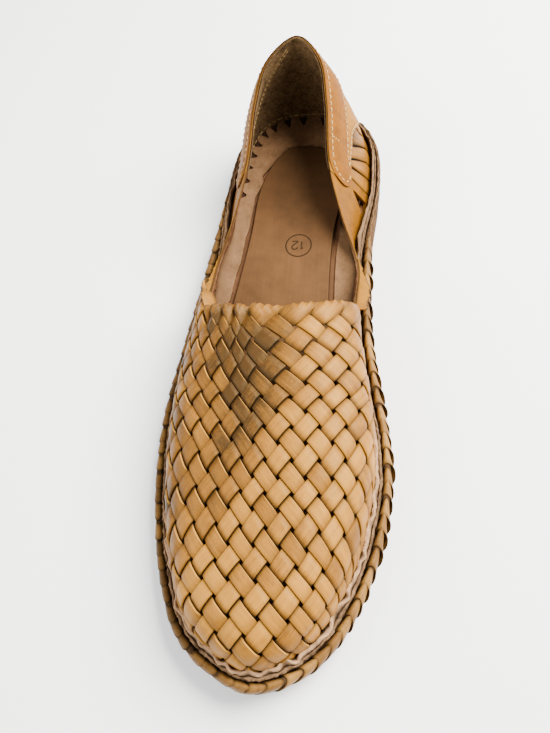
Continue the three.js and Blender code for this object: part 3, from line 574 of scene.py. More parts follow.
def strip_leather(name, light, mid, dark, burnt_and_shade, edge, flesh, gloss=0.26):
    """Vegetable-tanned strips: streaks along them, fine grain, dark ends (partly burnished, mostly painted
    shade), pale cut edges (partly a painted highlight), pink backs.
    """
    s = Shader(name)
    grain, (_, _, tone) = s.attribute("grain")
    _, (cut, burnish_and_shade, back) = s.attribute("wear")
    streaks = s.noise(s.scaled(grain, (6.0, 0.34, 1.0)), detail=4, roughness=0.6)
    bands = s.noise(s.scaled(grain, (14.0, 1.6, 1.0)), detail=2)
    blotches = s.spots(11, detail=3, roughness=0.6)
    clouds = s.spots(42, detail=1)
    pores = s.spots(0.8, detail=2, roughness=0.7)
    lightness = s.total((bands, 0.33), (streaks, 0.32), (pores, 0.3), (blotches, 0.45), (clouds, 0.55),
                        (tone, 0.29))
    share = s.fit(lightness, 0.78, 1.42)
    base = s.mix(s.fit(share, 0.0, 0.5), dark, mid)
    base = s.mix(s.fit(share, 0.5, 1.0), base, light)
    # Painted shade and burnish: the wear marks' second channel, with some mottling, darkens the strip towards
    # the near-black brown.
    shade_and_marks = s.total((burnish_and_shade, 0.9), (s.math("ADD", blotches, pores), 0.35))
    base = s.mix(s.fit(shade_and_marks, 0.3, 1.2), base, burnt_and_shade)
    base = s.mix(back, base, flesh)
    # The edge colour on marked rims: partly the leather's cut edge, partly a painted highlight.
    base = s.mix(cut, base, edge)
    fine = s.bump(streaks, 0.14, 0.5)
    fine = s.bump(pores, 0.16, 0.7, fine)
    matt = s.math("ADD", s.math("MULTIPLY", burnish_and_shade, 0.7), s.math("ADD", cut, back))
    rough = s.fit(s.math("ADD", streaks, matt), 0.3, 1.3, 0.36, 0.9)
    return s.finish(base, rough, fine, gloss, WARM)


def hide(name, light, dark, size_mm, pore_mm=0.8, depth=0.12, rough=(0.5, 0.7), edge=None, flesh=None,
         soil_and_shade=None, brushed=0.0, gloss=0.22):
    """Plain leather with clouds of colour and fine pores; edge colours its cut edges, flesh its back."""
    s = Shader(name)
    _, (cut, burnish_and_shade, back) = s.attribute("wear")
    clouds = s.spots(size_mm, detail=4, roughness=0.62)
    smears = s.spots(size_mm / 3.5, detail=3, roughness=0.6)
    pores = s.pores(pore_mm)
    fibres = s.spots(pore_mm / 2.6, detail=2)
    base = s.mix(s.fit(s.math("MULTIPLY_ADD", smears, 0.5, clouds), 0.52, 1.0), dark, light)
    base = s.mix(s.fit(pores, 0.0, 0.5, 0.25, 0.0), base, dark)
    if brushed:
        strokes = s.noise(s.scaled(s.object_place, (0.0008, 0.03, 0.03)), detail=3)
        base = s.mix(s.fit(strokes, 0.4, 0.7, 0.0, brushed), base, dark)
    # Painted shade, with dark edge lines: the soil colour darkens where the wear marks' second channel says.
    if soil_and_shade:
        base = s.mix(s.fit(s.math("MULTIPLY_ADD", smears, 0.4, burnish_and_shade), 0.2, 1.2), base, soil_and_shade)
    if flesh:
        base = s.mix(back, base, s.mix(s.fit(smears, 0.35, 0.65), *flesh))
    if edge:
        base = s.mix(cut, base, edge)
    normal = s.bump(pores, depth, 0.6)
    normal = s.bump(fibres, depth * 0.6, 0.5, normal)
    normal = s.bump(smears, depth * 2.0, 0.4, normal)
    dull = s.math("MULTIPLY_ADD", burnish_and_shade, 0.4, s.fit(clouds, 0.3, 0.7, *rough), clamp=True)
    return s.finish(base, dull, normal, gloss, WARM)


def suede(name, light, dark, lip=None, depth=0.5, nap_mm=0.9):
    """Rough suede: a deep nap that takes the light unevenly, with no gloss. lip colours its raw edge."""
    s = Shader(name)
    _, (cut, burnish_and_shade, _) = s.attribute("wear")
    clouds = s.spots(6, detail=5, roughness=0.7)
    nap = s.spots(nap_mm, detail=5, roughness=0.75)
    crumbs = s.spots(nap_mm / 0.38, detail=3, roughness=0.6)
    share = s.total((crumbs, 0.35), (clouds, 0.5), (nap, 0.5))
    base = s.mix(s.fit(share, 0.48, 0.82), dark, light)
    if lip:
        base = s.mix(s.math("MULTIPLY", cut, s.fit(nap, 0.25, 0.6, 0.55, 1.0), clamp=True), base, lip)
    # Painted shade: the wear marks' second channel darkens the suede to near black.
    base = s.mix(burnish_and_shade, base, colour(12, 7, 4))
    normal = s.bump(crumbs, depth * 1.5, 0.6)
    normal = s.bump(nap, depth, 0.8, normal)
    return s.finish(base, 0.95, normal, gloss=0.1)


def thread_material(name, light, dark):
    s = Shader(name)
    twist = s.spots(0.4, detail=2)
    return s.finish(s.mix(s.fit(twist, 0.35, 0.65), dark, light), 0.8, s.bump(twist, 0.15, 0.6))


# ---------------------------------------------------------------- woven vamp
CELL_ACROSS, CELL_ALONG = 10.7, 13.8
STRIP_CELL = math.hypot(CELL_ACROSS, CELL_ALONG) / 2
# Towards the throat the strips draw together at the outer corner and spread at the inner one.
WEAVE_ROWS = [  # row, along, across of its middle column, pitch of columns to the outer and inner side, bow
    (-6, -49.3, 13.2, 12.8, 12.8, 0), (-3, -7.9, 6.4, 11.5, 11.5, 0), (-2, 5.9, 3.5, 10.6, 10.8, 0.5),
    (-1, 20.5, 1.6, 10.3, 11.1, 1.5), (0, 34.0, 0.5, 10.1, 11.3, 2.5), (1, 48.8, -0.1, 9.8, 11.5, 3.0),
    (2, 62.7, -1.1, 9.8, 12.2, 3.0), (3, 75.6, -2.8, 9.0, 13.5, 3.0), (4, 89.3, -4.9, 7.8, 14.0, 3.5),
    (5, 102.5, -8.3, 6.7, 13.7, 4.0), (6, 116.3, -10.0, 6.4, 13.6, 4.0), (9, 157.7, -14.0, 6.4, 13.6, 4.0)]
ROWS_BEFORE, COLUMNS_BLEND = 2, 1.5  # lattice rows before row 0, and columns over which the two pitches blend
BOW_REACH = 30  # a row's bow is how much further along it lies at this distance from the middle
WEAVE_STRIPS, STRIP_CELLS, SAMPLES_PER_CELL = range(-14, 30), (-20, 40), 16
# Strips end at station VAMP_END outside the throat's half width less CORNER_WIDTH, and 1.5 mm past the foot.
VAMP_END, CORNER_WIDTH, FOOT_MARGIN = 177, 4, -1.5
STRIP_WIDTH, STRIP_APART = 8.4, 40  # the second keeps the grain of neighbours unlike
STRIP_RING = [  # across the strip from 0 to 1, height over its middle in mm, cut edge
    (0.108, -0.35, 0), (0.100, 0.06, 0), (0.112, 0.36, 0), (0.15, 0.50, 0), (0.30, 0.58, 0), (0.50, 0.61, 0),
    (0.70, 0.59, 0), (0.84, 0.53, 0), (0.872, 0.48, 0), (0.880, 0.45, 1), (0.902, 0.16, 1),
    (0.905, -0.40, 1), (0.70, -0.60, 0), (0.30, -0.60, 0)]
STRIP_RISE = 0.9  # how far a strip's middle swings to each side of the vamp's surface
OVER_UNTIL, UNDER_FROM = 0.20, 0.86  # from the middle of an over cell, where a strip dives
STRIP_TILT = {"a": 0.24, "b": -0.24}  # how much higher an over cell's side at 1 stands than its middle
FOOT_FADE_FROM, FOOT_FADE_TO, FOOT_SINK = 0.5, 6.5, 0.9  # the weave flattens and sinks over this length
THROAT_ROLL, THROAT_TAIL = 1.7, 5.0  # radius that strips roll over, and how far they then run back inside
THROAT_CORNER = 6  # how steeply the throat's edge turns back beyond its corners
THROAT_FOLD_FROM, THROAT_FOLD_TO = -7.5, -1.5  # where the strips swell into the folds of the throat's edge
FOLD_SWELL, FOLD_WIDENING = 0.7, 0.32  # mm, and a share of the strip's width
PETAL_TILT = 1.5  # how far the folds stand up at one edge, towards the outer corner of the throat
PETAL_FROM, PETAL_TO = -4, 6
TWISTED_STRIP = 3  # the strip of family a that folds over the others at the throat
TWIST_TURNS = ((-0.35, 0.05), (0.95, 1.35))  # where the others dive under it and come up, in cells
CELL_TONES, TONE_SHARE, TONE_SHIFT = 64, 0.6, -0.1
# Over cells darken towards the ends where they dive under their neighbours: partly burnished leather, mostly
# painted shade, more at the end turned from the light.
BURNISH_AND_SHADE = {  # of an over cell's later and earlier end: how much, from and to where it sets in
    "a": ((1.0, 0.42, 0.66), (0.5, 0.48, 0.68)), "b": ((0.4, 0.46, 0.68), (0.8, 0.3, 0.66))}
# The same painted shade at both ends, along the strips' sides where they meet, and at the foot where they go
# under the rand.
ENDS_BURNISH_AND_SHADE, SIDES_SHADE, FOOT_SHADE = (0.25, 0.15, 0.6), (0.35, 0.30, 0.42), 0.6
# Pale rims on one side of the over cells and folds: partly the cut edge's own colour, partly a painted
# highlight on the rim that faces the light.
PALE_CUT_AND_HIGHLIGHT, PALE_FOLD_AND_HIGHLIGHT = {"a": 1.0, "b": 0.3}, 0.9
# Darker patches are partly stains in the hide and partly painted shade; lighter patches are painted
# highlights.
STAINS_AND_PAINTED_LIGHT = [  # x and d of a patch's middle, its half widths, how much lighter it is
    (-9, 131, 14, 24, -1.15), (-4, 108, 11, 16, -0.6), (-27, 152, 15, 13, -0.8), (18, 136, 14, 20, 0.3),
    (-20, 88, 12, 14, -0.5), (14, 84, 18, 16, 0.4), (-16, 34, 18, 20, 0.8), (-44, 96, 8, 40, -0.7)]


def pattern_place(i, j):
    """Where the weave's lattice lies in the vamp's flat pattern."""
    row = (i + j - 1) / 2 - ROWS_BEFORE
    column = (i - j) / 2
    rows, *columns = np.array(WEAVE_ROWS, float).T
    along, middle, outer, inner, bow = (np.interp(row, rows, values) for values in columns)
    across = middle + column * lerp(outer, inner, smooth(column, -COLUMNS_BLEND, COLUMNS_BLEND))
    return across, along + bow * (across / BOW_REACH) ** 2


def throat_d(x):
    """The station of the throat's edge."""
    inside = THROAT_AT + THROAT_BOW * (x / THROAT_HALF) ** 2 + THROAT_TWIST * x / THROAT_HALF
    return inside + THROAT_CORNER * np.maximum(np.abs(x) - THROAT_HALF, 0)


def vamp_lift(i, j, lift):
    """Points over the woven vamp. Past the throat's edge they roll over it and run back inside."""
    point, normal, back, left = vamp.at(*pattern_place(i, j))
    beyond = point[..., 1] - throat_d(point[..., 0])
    past = np.maximum(beyond, 0)[..., None]
    turn = np.minimum(past / THROAT_ROLL, math.pi)
    tail = np.maximum(past - math.pi * THROAT_ROLL, 0)
    shift = THROAT_ROLL * np.sin(turn) - past - tail
    base = point + back * shift - normal * THROAT_ROLL * (1 - np.cos(turn))
    out = normal * np.cos(turn) + back * np.sin(turn)
    return base + out * lift[..., None], left, beyond, point


def stain_and_painted_light(point):
    """Broad patches of darker and lighter tone: the darker ones partly stains in the hide and partly painted
    shade, the lighter ones painted highlights.
    """
    return sum(change * np.exp(-((point[:, 0] - x) / wide) ** 2 - ((point[:, 1] - d) / long) ** 2)
               for x, d, wide, long, change in STAINS_AND_PAINTED_LIGHT)


def side_at_fold(family, index, i):
    """Whether a strip lies over, 1, or under, -1, where the throat's edge folds."""
    if family == "a":
        return 1.0 if index == TWISTED_STRIP else -1.0
    down, up = (smooth(i, TWISTED_STRIP + start, TWISTED_STRIP + stop) for start, stop in TWIST_TURNS)
    return lerp(1.0, -1.0, down - up)


def strip_burnish_and_shade(family, from_middle, across, fold, fade):
    """The dark of a strip's ends, sides and foot: partly burnished leather, mostly painted shade where it
    dives under its neighbours, where strips meet, under the rand and at the end turned from the light.
    """
    share, start, stop = ENDS_BURNISH_AND_SHADE
    ends = share * smooth(np.abs(from_middle), start, stop)
    for way, (share, start, stop) in zip((1, -1), BURNISH_AND_SHADE[family]):
        ends = ends + share * smooth(way * from_middle, start, stop)
    share, start, stop = SIDES_SHADE
    sides = share * smooth(np.abs(across - 0.5), start, stop)
    return np.clip(ends * (1 - fold) + sides + FOOT_SHADE * (1 - fade), 0, 1)


def strip_part(body, family, index, along, beyond, point, strip_tone, cell_tones):
    """A stretch of a strip. Its samples lie at these places along it.

    beyond says how far past the throat's edge each sample is, and point where it lies on the vamp.
    """
    ring, height, cut = (np.array(c) for c in zip(*STRIP_RING))
    along, across = np.meshgrid(along, ring, indexing="ij")
    fold = smooth(beyond, THROAT_FOLD_FROM, THROAT_FOLD_TO)[:, None]
    across = 0.5 + (across - 0.5) * (1 + FOLD_WIDENING * fold)
    i, j = (index + across, along) if family == "a" else (along, index + across)
    shift = 0.5 + index + (0 if family == "a" else 1)
    from_middle = (along - shift + 1) % 2 - 1  # 0 in the middle of an over cell
    swing = 1 - 2 * smooth(np.abs(from_middle), OVER_UNTIL, UNDER_FROM)
    swing = lerp(swing, side_at_fold(family, index, i), fold)
    over = np.maximum(swing, 0)
    fade = smooth(vamp.at(*pattern_place(i, j))[3], FOOT_FADE_FROM, FOOT_FADE_TO)
    swell = FOLD_SWELL * fold * over * np.clip(1 - (2 * across - 1) ** 2, 0, 1)
    petal = PETAL_TILT * fold * over * smooth(-point[:, 0], PETAL_FROM, PETAL_TO)[:, None] * (2 * across - 1)
    tilt = STRIP_TILT[family] * (across - 0.5) * 2 * over * (1 - fold)
    lift = fade * (petal + STRIP_RISE * swing + tilt + swell) - (1 - fade) * FOOT_SINK
    rings, *_ = vamp_lift(i, j, lift + height)
    which = np.floor((along - shift + 1) / 2).astype(int) % CELL_TONES
    # The tone takes in the patches of painted shade and painted highlight.
    tone = TONE_SHARE * strip_tone + TONE_SHARE * cell_tones[which] + stain_and_painted_light(point)[:, None] + TONE_SHIFT
    grain = np.stack([along * STRIP_CELL + STRIP_APART * index, across * STRIP_WIDTH, tone], -1)
    # Pale rims: cut edges with a painted highlight.
    pale_and_highlight = np.broadcast_to(cut, along.shape) * np.maximum(over * PALE_CUT_AND_HIGHLIGHT[family], PALE_FOLD_AND_HIGHLIGHT * fold)
    # Dark ends, sides and foot: painted shade, partly burnished leather.
    burnish_and_shade = strip_burnish_and_shade(family, from_middle, across, fold, fade)
    body.tube(rings, False, grain, spread(along.shape, pale_and_highlight, burnish_and_shade, 0))


def make_weave(family):
    """One of the two families of strips. Each strip runs from one edge of the vamp to the other."""
    body = Body()
    s = np.arange(*STRIP_CELLS, 1 / SAMPLES_PER_CELL)
    for index in WEAVE_STRIPS:
        middle = [index + 0.5 + 0 * s, s] if family == "a" else [s, index + 0.5 + 0 * s]
        _, left, beyond, point = vamp_lift(*middle, 0 * s)
        behind = (point[:, 1] > VAMP_END) & (np.abs(point[:, 0]) > THROAT_HALF - CORNER_WIDTH)
        keep = (left > FOOT_MARGIN) & (beyond < math.pi * THROAT_ROLL + THROAT_TAIL) & ~behind
        edges = np.flatnonzero(np.diff(np.concatenate([[0], keep.astype(int), [0]])))
        tones = rng.uniform(0, 1), rng.uniform(0, 1, CELL_TONES)
        for start, stop in zip(edges[::2], edges[1::2]):
            part = slice(start, stop)
            if stop - start >= SAMPLES_PER_CELL:
                strip_part(body, family, index, s[part], beyond[part], point[part], *tones)
    return body


# ---------------------------------------------------------------- quarters, counter, band
STRAP_TUCK, STRAP_TUCK_FROM, STRAP_TUCK_TO, STRAP_ROUND = 0.55, 174.5, 184, 0.6
STRAP_THIN, STRAP_THIN_FROM, STRAP_THIN_TO, STRAP_THIN_ABOVE = 0.5, 205, 240, 0.75
STRAP_LOW, STRAP_WOBBLE, TOPLINE_WOBBLE, WOBBLE_KNOTS = -0.06, 0.12, 0.06, 60
EDGE_SHARE = 0.04  # of a plate's rows, over which its edge is rounded
SIDE_GAPS = {  # d of the gap on the foot line, its widths at foot and top, lean, low and high end
    OUTER: [(180, 5.5, 0.8, -4, 0.15, 0.72), (191, 5.5, 0.8, -5, 0.15, 0.66), (217, 2.5, 0.8, 4, 0.1, 0.45),
            (227, 3.5, 0.8, 5, 0.1, 0.40), (240, 6.0, 1.0, 6, 0.1, 0.45)],
    INNER: [(184, 4.0, 0.8, -4, 0.15, 0.60), (193, 3.0, 0.8, -4, 0.15, 0.55),
            (239.5, 11.0, 1.0, 6, 0.02, 0.44)]}
GAP_CUT = 2.5  # how far a cutter reaches past both faces of the wall
COLLAR_THIN_FROM, COLLAR_THINNING = 0.78, 0.8
ON_WALL, STEP_SHARE = 0.05, 0.6  # a layer's clearance from the wall, and how much of the counter's step shows
COUNTER_OVERLAP, COUNTER_OVERLAP_LENGTH, COUNTER_LIFT, COUNTER_ROUND = 0.2, 6, 0.15, 0.5
COUNTER_THIN_FROM, COUNTER_THIN_TO, COUNTER_EDGE_THICKNESS = 254, 262, 0.6
RUFFLES = ((0.006, 140, 0), (0.004, 330, 1))  # of the counter's lower edge: share of the wall, rate, start
FAN_STRIP_ACROSS = np.array([0, 0.07, 0.25, 0.5, 0.75, 0.93, 1.0])
FAN_STRIP_CROWN = np.array([-0.45, -0.08, 0.06, 0.12, 0.06, -0.08, -0.45])
FAN_STRIP_SHADE = np.array([1, 0.3, 0, 0, 0, 0.3, 1]) * 0.7
FAN_STRIP_BACK, FAN_SLIT_SHARE, FAN_SLIT_WOBBLE, FAN_STRIP_LIFT, FAN_TUCK = -0.85, 0.32, 0.12, 0.14, 0.06
LINING_FROM, LINING_LOW, LINING_HEEL_LOW, LINING_LOW_FROM, LINING_LOW_TO = 246, 0.42, 0.05, 247, 262
LINING_THICKNESS, LINING_TOP_FACE, LINING_OVER_FAN, LINING_CLEARANCE = 0.85, -1.25, -0.92, 0.06
LINING_PUFF, LINING_PUFF_ROUND, LINING_PUFF_UP, LINING_PAST_TOP = 0.12, 97, 9, 0.35
BAND_FACE, BAND_THINNING = 0.85, 0.35  # the band as it lies, pulled flat by its stitches
BAND_LIFT, BAND_LIFT_THINNING, BAND_RAMP, BAND_ROUND = 0.4, 0.3, 8, 0.45
BAND_STITCH_LINES, BAND_END_INSET = (0.16, 0.90), 2.4
GROOVE_DEPTH, GROOVE_WIDTH, BAND_PUFF = 0.22, 0.035, 0.25
# Pitch, length and radius of the stitches, then where they run.
BAND_STITCH, SEAM_STITCH, COUNTER_STITCH = (3.3, 2.4, 0.34), (1.7, 1.3, 0.32), (3.0, 2.2, 0.34)
LINING_STITCH, CURVE_STITCH = (3.4, 2.4, 0.15), (2.6, 1.9, 0.14)
SEAM_AT, SEAM_LOW, COUNTER_STITCH_FROM, COUNTER_STITCH_UP = 262, 0.5, 252, 1.6
LINING_STITCH_FROM, LINING_STITCH_HEIGHT = 262, 0.10
CURVE_STATIONS, CURVE_HEIGHTS, CURVE_BEND, CURVE_ROWS = (307, 284), (0.93, 0.36), 1.3, (0.0, 0.03)


def wall_plate(body, u, h, outer, inner, edges=0.0, shade=0.0):
    """A plate over the wall: u and h are grids, outer and inner its two faces' offsets from the wall.

    Its inner face is marked as the leather's back, and its first and last rows as cut, as far as edges says.
    Its outer face is darkened as far as shade says: painted shade.
    """
    cut = np.zeros(u.shape)
    cut[:, :2] = cut[:, -2:] = edges
    body.sheet(wall_offset(u, h, outer), wall_offset(u, h, inner),
               spread(u.shape, cut, shade, 0), spread(u.shape, cut, 0, 1))


def crowded(rows):
    """Shares from 0 to 1 that crowd together at both ends."""
    return 0.5 - 0.5 * np.cos(math.pi * np.linspace(0, 1, rows))


def wall_grid(u, low, high, rows):
    """Grids of u and h over the wall, with rows from low to high at each u."""
    low, high = (np.broadcast_to(edge, u.shape)[:, None] for edge in (low, high))
    h = low + (high - low) * crowded(rows)
    return np.broadcast_to(u[:, None], h.shape), h


def edge_round(rows, depth):
    """Draws a plate's faces together at its first and last rows."""
    near = np.minimum(crowded(rows), 1 - crowded(rows))
    return depth * (1 - quarter_round(np.clip(near / EDGE_SHARE, 0, 1)))


def make_waist(side):
    """The straps and side strips between the vamp and the counter, one whole with slanted gaps."""
    body = Body()
    steps, rows = 170, 40
    u = np.linspace(u_at(side, QUARTERS[0][1] + 0.1), u_at(side, FAN_START - 0.4), steps)
    uu, h = wall_grid(u, STRAP_LOW, 1.0, rows)
    d = foot_d(uu)
    tuck = STRAP_TUCK * (1 - smooth(d, STRAP_TUCK_FROM, STRAP_TUCK_TO))
    pull = edge_round(rows, STRAP_ROUND)
    thin = STRAP_THIN * smooth(h, STRAP_THIN_ABOVE, 1) * smooth(d, STRAP_THIN_FROM, STRAP_THIN_TO)
    knots = np.linspace(u.min(), u.max(), WOBBLE_KNOTS)
    wobble = np.interp(u, knots, rng.uniform(-1, 1, WOBBLE_KNOTS))[:, None] * STRAP_WOBBLE
    outer, inner = -tuck - pull + wobble, -WALL - tuck + pull + thin
    wall_plate(body, uu, h + wobble * TOPLINE_WOBBLE * smooth(h, 0.9, 1), outer, inner, 1.0)
    return body


def gap_cutter(side):
    """Wedges through the wall for the gaps between side strips."""
    body = Body()
    steps = np.linspace(0, 1, 13)
    for d, foot_width, top_width, lean, low, high in SIDE_GAPS[side]:
        u = u_at(side, d)
        width = lerp(foot_width, top_width, steps) * np.sqrt(np.clip(1 - (2 * steps - 1) ** 8, 0.02, 1)) / 2
        centre = -side * lean * steps
        shift = np.concatenate([centre - width, (centre + width)[::-1]])
        h = lerp(low, high, np.concatenate([steps, steps[::-1]]))
        faces = (-WALL - GAP_CUT, GAP_CUT)
        rings = np.stack([wall_offset(u + shift / mm_per_u(u, low), h, face) for face in faces])
        body.tube(rings, False, wear=(1, 0, 0))
    return body


def cut_away(piece, cutter_body):
    """Cuts the cutter's solids out of a piece and applies the cut."""
    cutter = make_piece("cutter", cutter_body, piece.data.materials[0], sharp=0)
    cut = piece.modifiers.new("cut", "BOOLEAN")
    cut.operation, cut.solver, cut.object = "DIFFERENCE", "EXACT", cutter
    done = bpy.data.meshes.new_from_object(piece.evaluated_get(bpy.context.evaluated_depsgraph_get()))
    piece.modifiers.clear()
    piece.data = done
    done.shade_smooth()
    done.set_sharp_from_angle(angle=math.radians(SHARP_ANGLE))
    bpy.data.objects.remove(cutter)


def collar_taper(h):
    """The collar's layers thin towards the topline."""
    return smooth(h, COLLAR_THIN_FROM, 1.0)


def make_counter():
    """The counter over the ends of the straps and the tops of the fan's strips."""
    body = Body()
    steps, rows, start = 300, 44, BAND_END + 2
    u = round_heel(start, steps)
    ruffle = sum(size * np.sin(u * rate + begin) for size, rate, begin in RUFFLES)
    overlap = COUNTER_OVERLAP * (1 - smooth(foot_d(u), start, start + COUNTER_OVERLAP_LENGTH))
    low = counter_edge(u) + overlap + ruffle
    uu, h = wall_grid(u, np.clip(low, 0, 0.8), 1.0, rows)
    d = foot_d(uu)
    pull, thin = edge_round(rows, COUNTER_ROUND), collar_taper(h)
    whole = lerp(-WALL, -COUNTER_EDGE_THICKNESS, thin)
    inner = lerp(ON_WALL, whole, smooth(d, COUNTER_THIN_FROM, COUNTER_THIN_TO))
    step = STEP_SHARE * COUNTER_STEP * smooth(d, COUNTER_STEP_FROM, COUNTER_STEP_TO)
    outer = COUNTER_LIFT + step * (1 - COLLAR_THINNING * thin)
    wall_plate(body, uu, h, outer - pull, np.minimum(inner + pull, outer - 0.1 - pull), 0.6)
    return body


def fan_slit(k):
    """The foot of a slit of the fan: its u, the mm a unit of u stands for, its lean and its upper end."""
    u = lerp(u_at(OUTER, FAN_START), u_at(INNER, FAN_START), k / (FAN_SLITS - 1))
    high = float(counter_edge(u)) - 0.02
    lean = FAN_LEAN * smooth(foot_d(u), FAN_LEAN_FROM, FAN_LEAN_TO) * (high - FAN_FOOT) * wall_height(u)
    return u, mm_per_u(u, FAN_FOOT), np.sign(2 * k - FAN_SLITS + 1) * lean, high


def make_fan():
    """Strips that fan out from under the counter to the sole, with narrow slits between."""
    body = Body()
    for k in range(FAN_SLITS - 1):
        slits = fan_slit(k), fan_slit(k + 1)
        h = np.linspace(-0.05, max(slit[3] for slit in slits) + FAN_TUCK, 22)
        sides = []
        for (u, per_u, lean, high), way in zip(slits, (1, -1)):
            t = np.minimum((h - FAN_FOOT) / (high - FAN_FOOT), 1.1)
            width = lerp(FAN_FOOT_WIDTH, FAN_TOP_WIDTH, np.clip(t, 0, 1))
            half = width * FAN_SLIT_SHARE * smooth(t, -0.9, 0.1) + FAN_SLIT_WOBBLE * rng.uniform(0, 1)
            sides.append(u + (lean * np.maximum(t, 0) + way * half) / per_u)
        crown = FAN_STRIP_CROWN + rng.uniform(-FAN_STRIP_LIFT, FAN_STRIP_LIFT)
        uu = sides[0][:, None] + (sides[1] - sides[0])[:, None] * FAN_STRIP_ACROSS
        hh = np.broadcast_to(h[:, None], uu.shape)
        grain = spread(hh.shape, hh * 50, FAN_STRIP_ACROSS * 8 + 20 * k, rng.uniform(0, 1))
        # Painted shade: the strips darken along their sides at the slits, under the counter and at the foot.
        shade_and_darkening = FAN_STRIP_SHADE + 0.4 * smooth(hh / h.max(), 0.85, 1.0) + 0.4 * smooth(-hh, -0.12, 0.0)
        body.sheet(wall_offset(uu, hh, crown - 0.05), wall_offset(uu, hh, FAN_STRIP_BACK),
                   spread(hh.shape, 0, np.clip(shade_and_darkening, 0, 1), 0), spread(hh.shape, 0, 0, 1), grain)
    return body


def make_lining():
    """Dark suede inside the counter, from the insole to the topline."""
    body = Body()
    u = round_heel(LINING_FROM, 260)
    low = lerp(LINING_LOW, LINING_HEEL_LOW, smooth(foot_d(u), LINING_LOW_FROM, LINING_LOW_TO))
    uu, h = wall_grid(u, low, 1 + LINING_PAST_TOP / wall_height(u), 40)
    thin = collar_taper(h)
    under_counter = smooth(h, counter_edge(uu) - 0.01, counter_edge(uu) + 0.05)
    shell = lerp(-WALL - LINING_CLEARANCE, -COUNTER_EDGE_THICKNESS - 0.02, thin)
    outer = np.where(foot_d(uu) > FAN_START + 1, lerp(LINING_OVER_FAN, shell, under_counter), shell)
    puff = LINING_PUFF * np.sin(uu * LINING_PUFF_ROUND) * np.sin(h * LINING_PUFF_UP)
    # The lining's outer face, seen through the fan's slits, is painted near black: painted shade.
    wall_plate(body, uu, h, outer, lerp(-WALL - LINING_THICKNESS + puff, LINING_TOP_FACE, thin), shade=1.0)
    return body


def band_base(u, h):
    thin = collar_taper(h)
    step = STEP_SHARE * counter_step(u) * (1 - COLLAR_THINNING * thin)
    over_counter = step + BAND_LIFT * (1 - BAND_LIFT_THINNING * thin)
    return lerp(ON_WALL, over_counter, smooth(foot_d(u), BAND_END, BAND_END + BAND_RAMP))


def band_face(u, h):
    return band_base(u, h) + BAND_FACE * (1 - BAND_THINNING * collar_taper(h))


def make_band():
    """The collar band: stitched leather along the topline, rounded at both ends."""
    body = Body()
    rows = 26
    u = round_heel(BAND_END, 360)
    length = lengths_along(wall_point(u, 1.0))
    from_end = np.minimum(length, length[-1] - length)
    rounding = quarter_round(np.clip(from_end / BAND_END_LENGTH, 0.01, 1))
    edge = band_edge(u)
    middle = (1 + edge) / 2
    uu, h = wall_grid(u, lerp(middle, edge, rounding), lerp(middle, 1.0, rounding), rows)
    share = (1 - h) / (1 - edge[:, None])
    groove = sum(GROOVE_DEPTH * np.exp(-((share - line) / GROOVE_WIDTH) ** 2) for line in BAND_STITCH_LINES)
    puff = BAND_PUFF * np.sin(math.pi * np.linspace(0, 1, rows)) ** 2
    outer = band_face(uu, h) - edge_round(rows, BAND_ROUND) + puff - groove
    wall_plate(body, uu, h, outer, band_base(uu, h), 0.8)
    return body


def stitches(body, u, h, offset, size, way=1):
    """Single stitches along a line on the wall, each a short arched thread. way is -1 on its inside."""
    pitch, length, radius = size
    u, h = np.broadcast_arrays(u, h)
    points, normals = wall_offset(u, h, offset), way * wall_normal(u, h)
    reach = lengths_along(points)
    t = np.linspace(0, 1, 6)
    for start in np.arange(pitch * 0.3, reach[-1] - length, pitch):
        want = start + t * length
        p, n = interp_points(want, reach, points), unit(interp_points(want, reach, normals))
        side = unit(np.cross(unit(np.gradient(p, axis=0)), n))
        lift = radius * (np.sin(math.pi * t) - 0.5)
        swell = radius * (0.55 + 0.45 * np.sin(math.pi * t) ** 0.5)
        body.tube((p + n * lift[:, None])[:, None, :] + swell[:, None, None] * round_section(side, n, 6))


def band_stitches(body):
    """Two rows along the band, joined round its ends, and a seam across it on the inner side."""
    def line(u, share, size=BAND_STITCH):
        h = lerp(1.0, band_edge(u), share)
        stitches(body, u, h, band_face(u, h) + 0.06, size)

    ends = []
    for side, way in ((OUTER, 1), (INNER, -1)):
        u = u_at(side, BAND_END)
        per_u = np.linalg.norm(wall_point(u + way * 0.02, 1.0) - wall_point(u, 1.0)) / 0.02
        ends.append((u, way / per_u))
    high, low = BAND_STITCH_LINES
    reach = BAND_END_LENGTH + 1
    start, end = (u + per * reach for u, per in ends)
    for share in BAND_STITCH_LINES:
        line(np.linspace(start, end, 500), share)
    half_turn = np.linspace(-math.pi / 2, math.pi / 2, 30)
    for u, per in ends:
        turned = u + per * (reach - (reach - BAND_END_INSET) * np.cos(half_turn))
        line(turned, (high + low) / 2 + (low - high) / 2 * np.sin(half_turn))
    line(np.full(20, u_at(INNER, SEAM_AT)), np.linspace(high, SEAM_LOW, 20), SEAM_STITCH)


def counter_stitches(body):
    """A row just over the counter's lower edge."""
    u = round_heel(COUNTER_STITCH_FROM, 500)
    h = counter_edge(u) + COUNTER_STITCH_UP / wall_height(u)
    keep = h < band_edge(u) - 0.02
    for part in np.split(np.arange(len(u)), np.flatnonzero(np.diff(keep.astype(int))) + 1):
        if keep[part[0]] and len(part) > 20:
            stitches(body, u[part], h[part], 0.2 + STEP_SHARE * counter_step(u[part]), COUNTER_STITCH)


